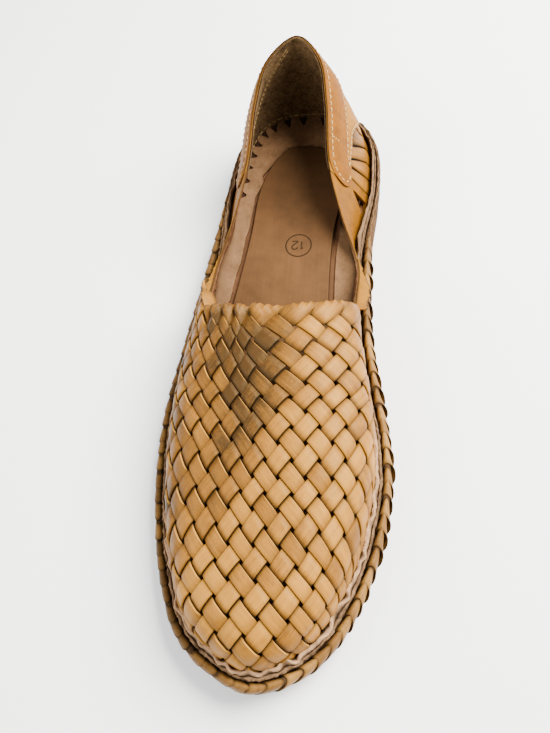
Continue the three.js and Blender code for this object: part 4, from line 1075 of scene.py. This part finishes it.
def lining_stitches(body):
    """The rows that show inside: one over the lining's lower edge and one curved up the outer side."""
    face = -WALL - LINING_THICKNESS - 0.1
    u = round_heel(LINING_STITCH_FROM, 400)
    stitches(body, u, LINING_STITCH_HEIGHT + 0.01 * np.sin(u * 60), face, LINING_STITCH, -1)
    t = np.linspace(0, 1, 120)
    for shift in CURVE_ROWS:
        u = lerp(*(u_at(OUTER, d) for d in CURVE_STATIONS), t) - shift * 0.15
        stitches(body, u, lerp(*CURVE_HEIGHTS, t ** CURVE_BEND) + shift, face, CURVE_STITCH, -1)


# ---------------------------------------------------------------- flange inside the shoe
FLANGE_REACH, FLANGE_REACH_HEEL, FLANGE_HEEL = 18.2, 29.0, (245.0, 312.0)  # inset of its inner edge
FLANGE_TOP, FLANGE_THICKNESS = 2.9, 0.75  # over the seat
FLANGE_SLIT_HALF, FLANGE_COVE, FLANGE_RISE = 2.3, 7.0, 6.0
FLANGE_BEYOND = 36  # outline steps that it runs on under the vamp
COVE_ROWS, FLAT_SHARES = 8, (0.3, 0.6, 0.85, 0.97, 1.0)
# Painted shade in the cove next to the wall, and a dark line along the flange's inner edge.
FLANGE_SHADE_AND_EDGE_DARK = np.array([0.8, 0.6, 0.4, 0.3, 0.2, 0.15, 0.1, 0, 0, 0, 0.1, 0.6, 1.0])
FLANGE_SHADE = ((222, 232), (256, 268))  # where the painted shade of the inner side sets in and ends
KNOT_STEPS = 7
COVE_SHADOW_DROP, COVE_SHADOW_THICKNESS = 0.9, 0.2


def flange_reach(d):
    """The inset of the flange's inner edge."""
    return lerp(FLANGE_REACH, FLANGE_REACH_HEEL, smooth(d, *FLANGE_HEEL))


def rounded_loop(inset, window=51):
    """The outline drawn in by inset mm, its points averaged so that tight bends stay round."""
    weights = np.hanning(window + 2)[1:-1]
    return np.stack([ring_average(column, weights / weights.sum()) for column in inset_loop(inset).T], -1)


def over_seat(xy, up):
    return np.column_stack([xy, seat(xy[:, 1]) + up])


def flange_rows(top, wave):
    """Rows of points from the inside of the wall, round a cove and over the insole to a wavy edge."""
    first, last = QUARTER_STEPS[0] + FLANGE_BEYOND, QUARTER_STEPS[-1] - FLANGE_BEYOND
    steps = np.arange(first, last - 0.5, -1.0)
    k = steps.astype(int) % OUTLINE_STEPS
    inside = np.clip(steps, QUARTER_STEPS[-1], QUARTER_STEPS[0])
    u = np.interp(-inside, -QUARTER_STEPS, np.linspace(0, 1, len(QUARTERS)))
    shift = FOOT[k] - FOOT[inside.astype(int) % OUTLINE_STEPS]
    edge, out = EDGE[k], EDGE_OUT[k]
    face = UPPER_INSET * edge_scale(edge[:, 1])[:, None] + WALL
    start = wall_offset(u, FLANGE_RISE / wall_height(u), -WALL - 0.12 - (top - FLANGE_TOP) * 0.4)
    start[:, :2] += shift
    bend = over_seat(edge - out * (face + 0.6), top - 0.4)
    flat = over_seat(edge - out * (face + FLANGE_COVE), top)
    rows = [bow(start, bend, flat, t) for t in np.linspace(0, 1, COVE_ROWS)]
    inner = rounded_loop(flange_reach(EDGE[:, 1]))[k] - out * np.broadcast_to(wave, len(k))[:, None]
    for t in FLAT_SHARES:
        rows.append(over_seat(lerp(flat[:, :2], inner, t), top - 0.35 * (t == 1)))
    return np.stack(rows, 1), steps


def make_flange():
    """The upper's margin turned in over the insole: strips down a cove, in line with the fan's slits."""
    count = int(QUARTER_STEPS[0] - QUARTER_STEPS[-1] + 2 * FLANGE_BEYOND) + 1
    knots = np.arange(0, count + KNOT_STEPS, KNOT_STEPS)
    wave = np.interp(np.arange(count), knots, rng.normal(0, 0.6, len(knots)))
    grid, steps = flange_rows(FLANGE_TOP, wave)
    body = Body()

    def sheet(points, shade_and_edge_dark):
        # The inner side's flange is darkened near the heel as painted shade.
        fall, rise = (smooth(points[..., 1], *ends) for ends in FLANGE_SHADE)
        shade = np.where(points[..., 0] > 0, fall * (1 - rise), 0)
        wear = spread(shade.shape, 0, np.maximum(shade_and_edge_dark, shade), 0)
        body.sheet(points, points - [0, 0, FLANGE_THICKNESS], wear)

    whole = COVE_ROWS - 2
    sheet(grid[:, whole:] - [0, 0, 0.1], FLANGE_SHADE_AND_EDGE_DARK[whole:])
    slits = np.interp([fan_slit(k)[0] * (len(QUARTERS) - 1) for k in range(FAN_SLITS)],
                      np.arange(len(QUARTERS)), QUARTER_STEPS)
    ends = np.concatenate([[steps[0]], slits, [steps[-1]]])
    taper = np.clip((7 - np.arange(COVE_ROWS)) / 3.1, 0, 1.3)
    for k, (a, b) in enumerate(zip(ends[:-1], ends[1:])):
        columns = max(9, int(a - b))
        half_a, half_b = (FLANGE_SLIT_HALF * rng.uniform(0.7, 1.2) * OUTLINE_STEPS / EDGE_LENGTH * taper
                          for _ in range(2))
        half_a, half_b = half_a * (k > 0), half_b * (k < len(ends) - 2)
        points = np.stack([
            interp_points(steps[0] - np.linspace(a - half_a[row], b + half_b[row], columns),
                          np.arange(len(grid)), grid[:, row]) for row in range(COVE_ROWS)], 1)
        points[..., 2] += rng.uniform(-0.1, 0.15)
        sheet(points, FLANGE_SHADE_AND_EDGE_DARK[:COVE_ROWS])
    return body


def make_cove_shadow():
    """A dark sheet under the cove: painted shadow, seen through its slits."""
    body = Body()
    outer = flange_rows(FLANGE_TOP - COVE_SHADOW_DROP, 0.0)[0][:, :COVE_ROWS]
    body.sheet(outer, outer - [0, 0, COVE_SHADOW_THICKNESS])
    return body


# ---------------------------------------------------------------- sole
PLATE_INNER_ROWS, PLATE_ROUND_STEPS, PLATE_FLATNESS = 10, 4, 0.6
# Painted shade under the counter: the plates' tops darken towards the heel, which only the footbed's colour
# shows.
PLATE_TOP_SHADE, PLATE_SHADE_FROM, PLATE_SHADE_TO = 0.3, 205, 268
LACING_HALF_WIDTH, LACING_HALF_HEIGHT, LACING_DROP, LACING_STITCHES, LACING_SLANT = 2.5, 4.0, 1.6, 94, 4.2
LACING_ACROSS = np.array([-1, -0.93, -0.6, 0, 0.6, 0.93, 1, 0.8, -0.8])
LACING_SECTION = np.array([0.0, 0.30, 0.38, 0.42, 0.38, 0.30, 0.0, -0.4, -0.4])
LACING_TURN = np.linspace(math.pi * 1.15, -math.pi * 0.62, 20)[:, None]
LACED_TO = {OUTER: 257.0, INNER: 216.0}  # behind this the sole's edge is bare, with a thread along it
THREAD_RADIUS, THREAD_WAVE, THREAD_WAVE_LENGTH, THREAD_HEAVE_LENGTH = 0.24, 0.32, 9.0, 7.0
RAND_ROWS = [  # inset and height where it leans, the same where it lies flat, ruffle, grain, light lip, dark (painted shade in its crease and along its foot)
    (5.3, 0.35, 5.5, 0.35, 0, 0, 0, 1), (4.8, 2.0, 5.4, 0.9, 0, 1, 0, 0.6),
    (4.9, 3.3, 5.6, 1.4, 0.1, 1.3, 0, 0.1), (5.35, 4.1, 5.9, 1.75, 0.2, 1.3, 0.1, 0),
    (5.85, 4.2, 6.1, 1.8, 0.3, 1.0, 0, 0.2), (6.15, 3.8, 6.25, 1.6, 0.4, 0.5, 0, 0.95),
    (6.4, 4.5, 6.4, 1.9, 0.7, 0.6, 0.3, 0.3), (6.75, 5.5, 6.6, 2.4, 1, 0.8, 0.8, 0),
    (7.4, 6.0, 7.0, 2.6, 1, 0.8, 1, 0), (8.1, 5.8, 7.4, 2.4, 1, 0.8, 0.9, 0),
    (8.55, 4.6, 7.7, 1.8, 0.7, 0.4, 0.3, 0.6), (9.0, 1.8, 8.4, 0.9, 0, 0, 0, 1),
    (8.8, 0.35, 8.8, 0.35, 0, 0, 0, 1)]
RAND_FLAT_BETWEEN = (112, 140, 208, 226)
RAND_SWAY, RAND_LIFT, RAND_GRAIN_ACROSS, RAND_GRAIN_UP = 0.42, 0.38, 0.16, 0.14
RAND_CALM_FROM, RAND_CALM_TO = 25, 120
# The rand is darker towards the heel, with less of its pale lip.
RAND_DARKER, RAND_DARKER_FROM, RAND_DARKER_TO = 0.3, 150, 220


def make_plate(loop, centre_from, centre_to, low, high, edge=0.8):
    """A flat-lying layer of leather inside a loop, with rounded edges.

    Its rows of points are closed loops from the middle of its underside, round its edge, to its top's middle.
    """
    d = loop[:, 1]
    middle_d = np.clip(np.round(d / 2) * 2, centre_from, centre_to)
    left, right = sides_at(loop, np.clip(middle_d, d.min() + 0.5, d.max() - 0.5))
    core = np.stack([(left + right) / 2, middle_d], -1)
    inward = unit(core - loop)
    shares = np.append(np.linspace(1, 0, PLATE_INNER_ROWS + 1)[:-1], 0.02)
    angles = np.linspace(0, math.pi / 2, PLATE_ROUND_STEPS)

    def face(height, way):
        rows = []
        for share in shares:
            xy = loop + (core - loop) * (share * 0.97 + 0.03) if share < 1 else core
            rows.append(np.column_stack([xy, height(xy[:, 1])]))
        for angle in angles:
            xy = loop + inward * edge * (1 - math.sin(angle))
            z = height(xy[:, 1]) + way * edge * PLATE_FLATNESS * (1 - math.cos(angle))
            rows.append(np.column_stack([xy, z]))
        return rows

    rows = np.stack(face(low, 1) + face(high, -1)[::-1])
    round_rows = PLATE_INNER_ROWS + 1 + 2 * PLATE_ROUND_STEPS
    wear = np.zeros(rows.shape)
    wear[PLATE_INNER_ROWS + 2:round_rows - 1, :, 1] = 1
    # Painted shade towards the heel on the top.
    wear[round_rows:, :, 1] = PLATE_TOP_SHADE * smooth(rows[round_rows:, :, 1], PLATE_SHADE_FROM, PLATE_SHADE_TO)
    body = Body()
    body.tube(rows, wear=wear, caps=False)
    return body


def ground(d):
    return seat(d) - SEAT_HEIGHT


def outsole_top(d):
    return ground(d) + OUTSOLE_THICKNESS


def insole_top(d):
    return seat(d) + GAP + INSOLE_THICKNESS


def heel_loop():
    """The sole's outline behind the heel breast, closed straight across."""
    loop = inset_loop(OUTSOLE_INSET)
    behind = loop[loop[:, 1] > HEEL_BREAST]
    left, right = sides_at(loop, [HEEL_BREAST])
    x = np.linspace(left[0], right[0], 60)
    order = behind[np.argsort(np.unwrap(np.arctan2(behind[:, 1] - 260, behind[:, 0])))]
    return np.vstack([np.column_stack([x, np.full(60, HEEL_BREAST)]), order])


def laced(k):
    """Whether the outline's point is whipped with cord."""
    return EDGE[k, 1] < np.where(EDGE[k, 0] < 0, LACED_TO[OUTER], LACED_TO[INNER])


def lacing_stitch(body, k, start, width, slant, tilt, section, tone):
    """One turn of the lacing strip: from inside the sole's edge over its top and round to its underside."""
    places = np.linspace(0, EDGE_LENGTH, OUTLINE_STEPS + 1)
    cos, sin = np.cos(LACING_TURN), np.sin(LACING_TURN)
    half_width = width * (1 + 0.06 * np.sin(LACING_TURN * 2 + k)) * (1 + 0.09 * np.maximum(cos, 0))
    s = (start + slant * sin + LACING_ACROSS * half_width) % EDGE_LENGTH
    p, out = (interp_points(s, places, np.vstack([ring, ring[:1]])) for ring in (EDGE, EDGE_OUT))
    toeward = np.where(p[..., 0] < 0, 1, -1) * LACING_ACROSS
    half = LACING_HALF_WIDTH * edge_scale(p[..., 1])
    corner = 1.1 * smooth(toeward, 0.3, 1.0) * smooth(p[..., 0], 30, 42) * smooth(cos, 0.3, 1.0) * tilt / 0.7
    reach_out = (half - 0.6 + section * 0.95 + tilt * toeward) * cos + corner
    reach_up = (LACING_HALF_HEIGHT - 0.6 + section) * sin - LACING_DROP
    xy = p + out * (reach_out - half)[..., None]
    rings = np.concatenate([xy, (seat(p[..., 1]) + reach_up)[..., None]], -1)
    grain = spread(s.shape, (np.arange(len(s)) * 0.8)[:, None], LACING_ACROSS * 3 + 17 * k, tone)
    # The cord is darker on the outer side.
    sides, darker_stretch = np.abs(LACING_ACROSS) ** 6 * 0.75, 0.3 * smooth(-p[..., 0], 5, 30)
    # Painted shade: dark at the cord's sides between turns, under the sole's edge and on the side towards the
    # upper.
    shade_and_darkening = sides + darker_stretch + 0.5 * smooth(-sin, 0.1, 0.7) + 0.4 * smooth(-cos, 0.2, 0.9)
    body.tube(rings, False, grain, spread(s.shape, 0, np.clip(shade_and_darkening, 0, 1), 0))


def make_lacing():
    """Flat cord whipped over the sole's edge, stitch by stitch."""
    body = Body()
    pitch = EDGE_LENGTH / LACING_STITCHES
    for k in range(LACING_STITCHES):
        start = (k + rng.uniform(-0.14, 0.14)) * pitch
        width = pitch * rng.uniform(0.49, 0.535)
        slant = LACING_SLANT * rng.uniform(0.75, 1.2)
        tilt = rng.uniform(0.1, 0.7)
        section = LACING_SECTION * rng.uniform(0.85, 1.1)
        tone = rng.uniform(0, 1)
        if laced(int(start / EDGE_LENGTH * OUTLINE_STEPS) % OUTLINE_STEPS):
            lacing_stitch(body, k, start, width, slant, tilt, section, tone)
    return body


def make_edge_core():
    """The sole's raw edge: thin under the whipping, full and rough where it is bare."""
    bare = ring_average(1 - laced(np.arange(OUTLINE_STEPS)).astype(float), np.ones(15) / 15)
    full = LACING_HALF_WIDTH * edge_scale(EDGE[:, 1])
    rough = ring_average(rng.normal(0, 1, OUTLINE_STEPS), np.ones(4) / 4) * 0.22 * bare
    half = full - 0.75 + 0.6 * bare + rough * 0.5
    high = LACING_HALF_HEIGHT - 0.9 + 0.5 * bare + rough
    angle = np.linspace(0, 2 * math.pi, 16, endpoint=False)
    square = 1 / (np.abs(np.cos(angle)) ** 3 + np.abs(np.sin(angle)) ** 3) ** (1 / 3)
    offset = half[:, None] * (np.cos(angle) * square) - full[:, None]
    up = high[:, None] * (np.sin(angle) * square) - LACING_DROP
    xy = EDGE[:, None, :] + EDGE_OUT[:, None, :] * offset[..., None]
    z = seat(EDGE[:, 1])[:, None] + up
    body = Body()
    # Painted shade: darker under the whipping.
    wear = spread(z.shape, 0, 0.3 * (1 - bare[:, None]), 0)
    body.tube(np.concatenate([xy, z[..., None]], -1), True, wear=wear)
    return body


def make_edge_thread():
    """A light thread that runs in waves along the bare edge of the heel."""
    steps = np.flatnonzero(~laced(np.arange(OUTLINE_STEPS)))
    s = steps * EDGE_LENGTH / OUTLINE_STEPS
    full = LACING_HALF_WIDTH * edge_scale(EDGE[steps, 1])
    wave = np.sin(s * 2 * math.pi / THREAD_WAVE_LENGTH + 0.8 * np.sin(s * 0.31))
    xy = EDGE[steps] - EDGE_OUT[steps] * (full * 0.85 + THREAD_WAVE * wave)[:, None]
    heave = 0.2 * np.cos(s * 2 * math.pi / THREAD_HEAVE_LENGTH)
    path = np.column_stack([xy, seat(EDGE[steps, 1]) + LACING_HALF_HEIGHT - LACING_DROP - 0.35 + heave])
    forward = unit(np.gradient(path, axis=0))
    side = unit(np.cross(forward, [0, 0, 1.0]))
    up = np.cross(side, forward)
    body = Body()
    body.tube(path[:, None, :] + THREAD_RADIUS * round_section(side, up, 7))
    return body


def make_rand():
    """A rough strip that leans on the foot of the upper, with a ruffled edge."""
    d = EDGE[:, 1]
    fall, flat_from, flat_to, rise = RAND_FLAT_BETWEEN
    flat = smooth(d, fall, flat_from) - smooth(d, flat_to, rise)
    strength = lerp(2.1, 0.8, smooth(d, RAND_CALM_FROM, RAND_CALM_TO))
    darker_stretch = smooth(d, RAND_DARKER_FROM, RAND_DARKER_TO)

    def jitter(width):
        raw = ring_average(rng.normal(0, 1, OUTLINE_STEPS), np.hanning(width + 2)[1:-1])
        return raw / raw.std()

    sway, lift = jitter(10) * strength, jitter(8) * strength
    rings, wear = [], []
    for inset, height, inset_flat, height_flat, ruffle, grain, lip, dark in RAND_ROWS:
        across = lerp(inset, inset_flat, flat) + RAND_SWAY * ruffle * sway
        across = across + RAND_GRAIN_ACROSS * grain * jitter(3)
        up = lerp(height, height_flat, flat) + RAND_LIFT * ruffle * lift + RAND_GRAIN_UP * grain * jitter(3)
        rings.append(np.column_stack([EDGE - EDGE_OUT * (across * edge_scale(d))[:, None], seat(d) + up]))
        wear.append(np.column_stack([lip * (1 - 0.6 * darker_stretch), np.maximum(dark, RAND_DARKER * darker_stretch), 0 * d]))
    body = Body()
    body.tube(np.stack(rings, 1), True, wear=np.stack(wear, 1))
    return body


# ---------------------------------------------------------------- small pieces
CORNER_FLAP, CORNER_FLAP_FROM, CORNER_FLAP_TO = {OUTER: 2.6, INNER: 4.6}, 206.0, 184.0
FLAP_THICKNESS, FLAP_LIFT, FLAP_DROOP, FLAP_BEND = 0.95, 0.35, 0.10, 0.035
STAMP_AT, STAMP_RADIUS, STAMP_LINE, STAMP_DEPTH = (2.2, 216.0), 6.7, 0.38, 0.2
STAMP_SECTION = [(-1, 0), (-0.6, 0.25), (0.6, 0.25), (1, 0), (0.6, -0.25), (-0.6, -0.25)]
STAMP_DIGITS = [  # strokes of the digits 1 and 2 in a box 1 wide and 1.6 high, with the box's place
    (-2.1, [[(0.25, 1.25), (0.6, 1.6), (0.6, 0)]]),
    (0.5, [[(0, 1.2), (0.12, 1.48), (0.5, 1.6), (0.88, 1.48), (1, 1.15), (0.85, 0.8), (0, 0), (1.02, 0)]])]
DIGIT_SIZE, DIGIT_SPACING, DIGIT_CORNER = 3.0, 1.45, (-0.3, -2.4)


def make_corner_flap(side):
    """The strap's rough edge, turned out over the sole at the vamp's corner."""
    steps, rows = 70, 7
    u = np.linspace(u_at(side, CORNER_FLAP_FROM), u_at(side, QUARTERS[0][1] + 0.3), steps)
    rough = np.interp(np.arange(steps), np.arange(0, steps + 2, 2), rng.normal(0, 0.4, steps // 2 + 1))
    width = 0.5 + CORNER_FLAP[side] * (1 - smooth(foot_d(u), CORNER_FLAP_TO, CORNER_FLAP_FROM)) + rough
    reach = (np.linspace(0, 1, rows) * 1.12 - 0.12) * width[:, None]
    points = wall_point(u, 1.0)[:, None, :] + foot_point(u)[1][:, None, :] * reach[..., None]
    points[..., 2] += FLAP_LIFT + 0.25 * rough[:, None] - FLAP_DROOP * reach - FLAP_BEND * reach ** 2
    wear = np.zeros(points.shape)
    wear[:, [0, -1], 0] = 1
    body = Body()
    body.sheet(points, points - [0, 0, FLAP_THICKNESS], wear)
    return body


def make_stamp():
    """The plain size number in its ring, pressed dark into the footbed."""
    body = Body()

    def line(points, closed):
        xy = STAMP_AT - points
        path = np.column_stack([xy, insole_top(xy[:, 1]) + GAP + FOOTBED_THICKNESS + 0.01])
        around = np.roll(path, -1, 0) - np.roll(path, 1, 0) if closed else np.gradient(path, axis=0)
        side = unit(np.cross(around, [0, 0, 1.0]))
        rings = [path + side * STAMP_LINE * a + [0, 0, STAMP_DEPTH * b] for a, b in STAMP_SECTION]
        body.tube(np.stack(rings, 1), closed)

    turn = np.linspace(0, 2 * math.pi, 72, endpoint=False)
    line(np.stack([np.cos(turn), np.sin(turn)], -1) * STAMP_RADIUS, True)
    for shift, strokes in STAMP_DIGITS:
        for stroke in strokes:
            stroke = np.array(stroke) * DIGIT_SIZE + [shift * DIGIT_SPACING, 0] + DIGIT_CORNER
            line(catmull(stroke, False, 5) if len(stroke) > 4 else stroke, False)
    return body


# ---------------------------------------------------------------- build the shoe
TAN_LIGHT, TAN, TAN_DARK = colour(168, 114, 35), colour(122, 78, 22), colour(56, 36, 13)
# The first is the near-black of burnished ends and painted shade; the second the pale of cut edges and
# painted highlights.
BURNT_AND_SHADE, CREAM_EDGE_AND_HIGHLIGHT, FLESH = colour(18, 9, 2), colour(156, 110, 46), colour(96, 60, 36)
FLESH_LIGHT, FLESH_DARK = colour(108, 70, 46), colour(66, 40, 24)

strap_leather = strip_leather("woven_leather", TAN_LIGHT, TAN, TAN_DARK, BURNT_AND_SHADE, CREAM_EDGE_AND_HIGHLIGHT, FLESH)
lacing_leather = strip_leather("lacing_leather", colour(152, 110, 52), colour(108, 74, 34), TAN_DARK, BURNT_AND_SHADE,
                               colour(150, 112, 62), FLESH, gloss=0.2)
fan_leather = strip_leather("fan_leather", TAN_LIGHT, TAN, TAN_DARK, BURNT_AND_SHADE, CREAM_EDGE_AND_HIGHLIGHT, FLESH, gloss=0.1)
wall_leather = hide("strap_leather", colour(122, 76, 14), colour(90, 54, 8), 12, edge=colour(60, 40, 18),
                    flesh=(FLESH_DARK, FLESH_LIGHT), gloss=0.12)
counter_leather = hide("counter_leather", colour(138, 92, 24), colour(108, 68, 14), 12,
                       edge=colour(56, 38, 20), flesh=(FLESH_DARK, FLESH_LIGHT), gloss=0.12)
band_leather = hide("band_leather", colour(120, 72, 14), colour(90, 51, 7), 7, edge=colour(44, 30, 16),
                    flesh=(FLESH_DARK, FLESH_DARK), gloss=0.12)
lining_suede = suede("lining_suede", colour(110, 85, 54), colour(58, 41, 23), depth=1.5, nap_mm=1.5)
shadow_suede = suede("shadow_suede", colour(44, 26, 14), colour(24, 14, 8), depth=0.3)
rand_suede = suede("rand_suede", colour(136, 104, 72), colour(36, 23, 13), lip=colour(172, 134, 98),
                   depth=0.7)
edge_suede = suede("edge_suede", colour(92, 66, 40), colour(46, 30, 16), depth=0.6)
# Its soil colour is painted shade in the cove and on the inner side, and a dark inner edge line.
flange_leather = hide("flange_leather", colour(118, 87, 60), colour(84, 59, 38), 10, soil_and_shade=colour(30, 17, 8),
                      rough=(0.7, 0.85), depth=0.25)
insole_leather = hide("insole_leather", colour(84, 53, 33), colour(60, 37, 22), 14)
# Its soil colour paints its dark edge and painted shade towards the heel.
footbed_leather = hide("footbed_leather", colour(83, 54, 30), colour(54, 34, 18), 30, pore_mm=0.5,
                       rough=(0.5, 0.6), soil_and_shade=colour(34, 18, 8), depth=0.07, brushed=0.22)
sole_leather = hide("sole_leather", colour(98, 62, 32), colour(70, 42, 20), 20)
midsole_leather = hide("midsole_leather", colour(112, 74, 40), colour(82, 50, 26), 20)
heel_leather = hide("heel_leather", colour(66, 42, 24), colour(46, 28, 16), 10)
stamp_brown = hide("stamp_brown", colour(30, 16, 7), colour(20, 10, 4), 2, rough=(0.7, 0.8))
brown_thread = thread_material("brown_thread", colour(128, 98, 64), colour(84, 60, 36))
cream_thread = thread_material("cream_thread", colour(190, 160, 104), colour(128, 96, 52))

for family in "ab":
    make_piece(f"weave_{family}", make_weave(family), strap_leather, "upper")
for side_name, side in SIDES.items():
    waist = make_piece(f"waist_{side_name}", make_waist(side), wall_leather, "upper")
    cut_away(waist, gap_cutter(side))
make_piece("counter", make_counter(), counter_leather, "upper")
make_piece("fan_strips", make_fan(), fan_leather, "upper")
make_piece("counter_lining", make_lining(), lining_suede, "upper")
make_piece("collar_strap", make_band(), band_leather, "collar_band")
make_piece("flange", make_flange(), flange_leather, "upper")
make_piece("cove_shadow", make_cove_shadow(), shadow_suede, "upper")

band_threads, counter_threads = Body(), Body()
band_stitches(band_threads)
counter_stitches(counter_threads)
lining_stitches(counter_threads)
make_piece("band_stitches", band_threads, cream_thread, "collar_band")
make_piece("counter_stitches", counter_threads, cream_thread, "upper")
for side_name, side in SIDES.items():
    make_piece(f"corner_flap_{side_name}", make_corner_flap(side), counter_leather, "upper")
make_piece("size_stamp", make_stamp(), stamp_brown, "footbed")


def floor_level(d):
    return 0 * d


def raised(height, up):
    return lambda d: height(d) + up


edge_d = EDGE[:, 1]
footbed_inset = lerp(FOOTBED_INSET, flange_reach(edge_d) + 0.4, smooth(edge_d, 224, 256))
PLATES = [  # node, material, outline, both ends of its middle line, both faces, rounding of its edge
    ("outsole", sole_leather, inset_loop(OUTSOLE_INSET), 52, 272, ground, outsole_top, 0.8),
    ("midsole", midsole_leather, inset_loop(MIDSOLE_INSET * edge_scale(edge_d)), 52, 272,
     raised(outsole_top, GAP), seat, 0.8),
    ("insole", insole_leather, inset_loop(UPPER_INSET * edge_scale(edge_d) + INSOLE_MARGIN), 52, 272,
     raised(seat, GAP), insole_top, 0.4),
    ("footbed", footbed_leather, rounded_loop(footbed_inset, 61), 60, 266,
     raised(insole_top, GAP), raised(insole_top, GAP + FOOTBED_THICKNESS), 0.6),
    ("heel", heel_leather, heel_loop(), 262, 280, floor_level, raised(floor_level, HEEL_RISE - GAP), 0.8)]
for node, material, *form in PLATES:
    make_piece(f"{node}_plate", make_plate(*form), material, node, merge=True)
make_piece("edge_core", make_edge_core(), edge_suede, "edge_lacing")
make_piece("edge_thread", make_edge_thread(), brown_thread, "edge_lacing")
make_piece("lacing_strip", make_lacing(), lacing_leather, "edge_lacing")
make_piece("rand_strip", make_rand(), rand_suede, "rand")

# ---------------------------------------------------------------- stage, light and camera
FLOOR_FROM, FLOOR_TO = (-3000, -3000), (3000, 3300)
CAMERA_PLACE, CAMERA_AIM = (57.96, -166.78, 328.0), (-1.97, -12.54, 20.0)
CAMERA_ROLL, CAMERA_LENS, CAMERA_SENSOR, CAMERA_SEES = 16.87, 35.6, 36, (0.01, 20)


def make_floor():
    (x0, d0), (x1, d1) = FLOOR_FROM, FLOOR_TO
    body = Body()
    body.add([(x0, d0, 0), (x1, d0, 0), (x1, d1, 0), (x0, d1, 0)], [(0, 1, 2, 3)])
    s = Shader("floor_paper")
    paper = s.finish(s.mix(s.spots(400, detail=1), colour(250, 250, 249), colour(253, 253, 252)), 0.9)
    return make_piece("floor", body, paper, sharp=0)


floor = make_floor()

world = bpy.data.worlds.new("studio")
world.use_nodes = True
background = world.node_tree.nodes["Background"]
background.inputs["Color"].default_value = colour(246, 246, 246)
background.inputs["Strength"].default_value = 0.75
bpy.context.scene.world = world


def aimed(name, data, place_mm, aim_mm, roll=0.0):
    """An object at a place, looking at another."""
    made = bpy.data.objects.new(name, data)
    bpy.context.scene.collection.objects.link(made)
    made.location = [c / 1000 for c in place_mm]
    made.rotation_mode = "QUATERNION"
    way = (Vector(aim_mm) - Vector(place_mm)).to_track_quat("-Z", "Y")
    made.rotation_quaternion = way @ Matrix.Rotation(-math.radians(roll), 3, "Z").to_quaternion()
    return made


def area_light(name, place_mm, size_mm, power, tint):
    light = bpy.data.lights.new(name, "AREA")
    light.shape, light.size, light.energy, light.color = "DISK", size_mm / 1000, power, tint
    aimed(name, light, place_mm, (0, 0, 20))


area_light("key", (560, 330, 760), 760, 61, (1, 0.98, 0.95))
area_light("fill", (-800, -300, 800), 900, 16, (0.97, 0.98, 1))

camera = aimed("camera", bpy.data.cameras.new("camera"), CAMERA_PLACE, CAMERA_AIM, CAMERA_ROLL)
camera.data.lens, camera.data.sensor_width = CAMERA_LENS, CAMERA_SENSOR
camera.data.clip_start, camera.data.clip_end = CAMERA_SEES
bpy.context.scene.camera = camera
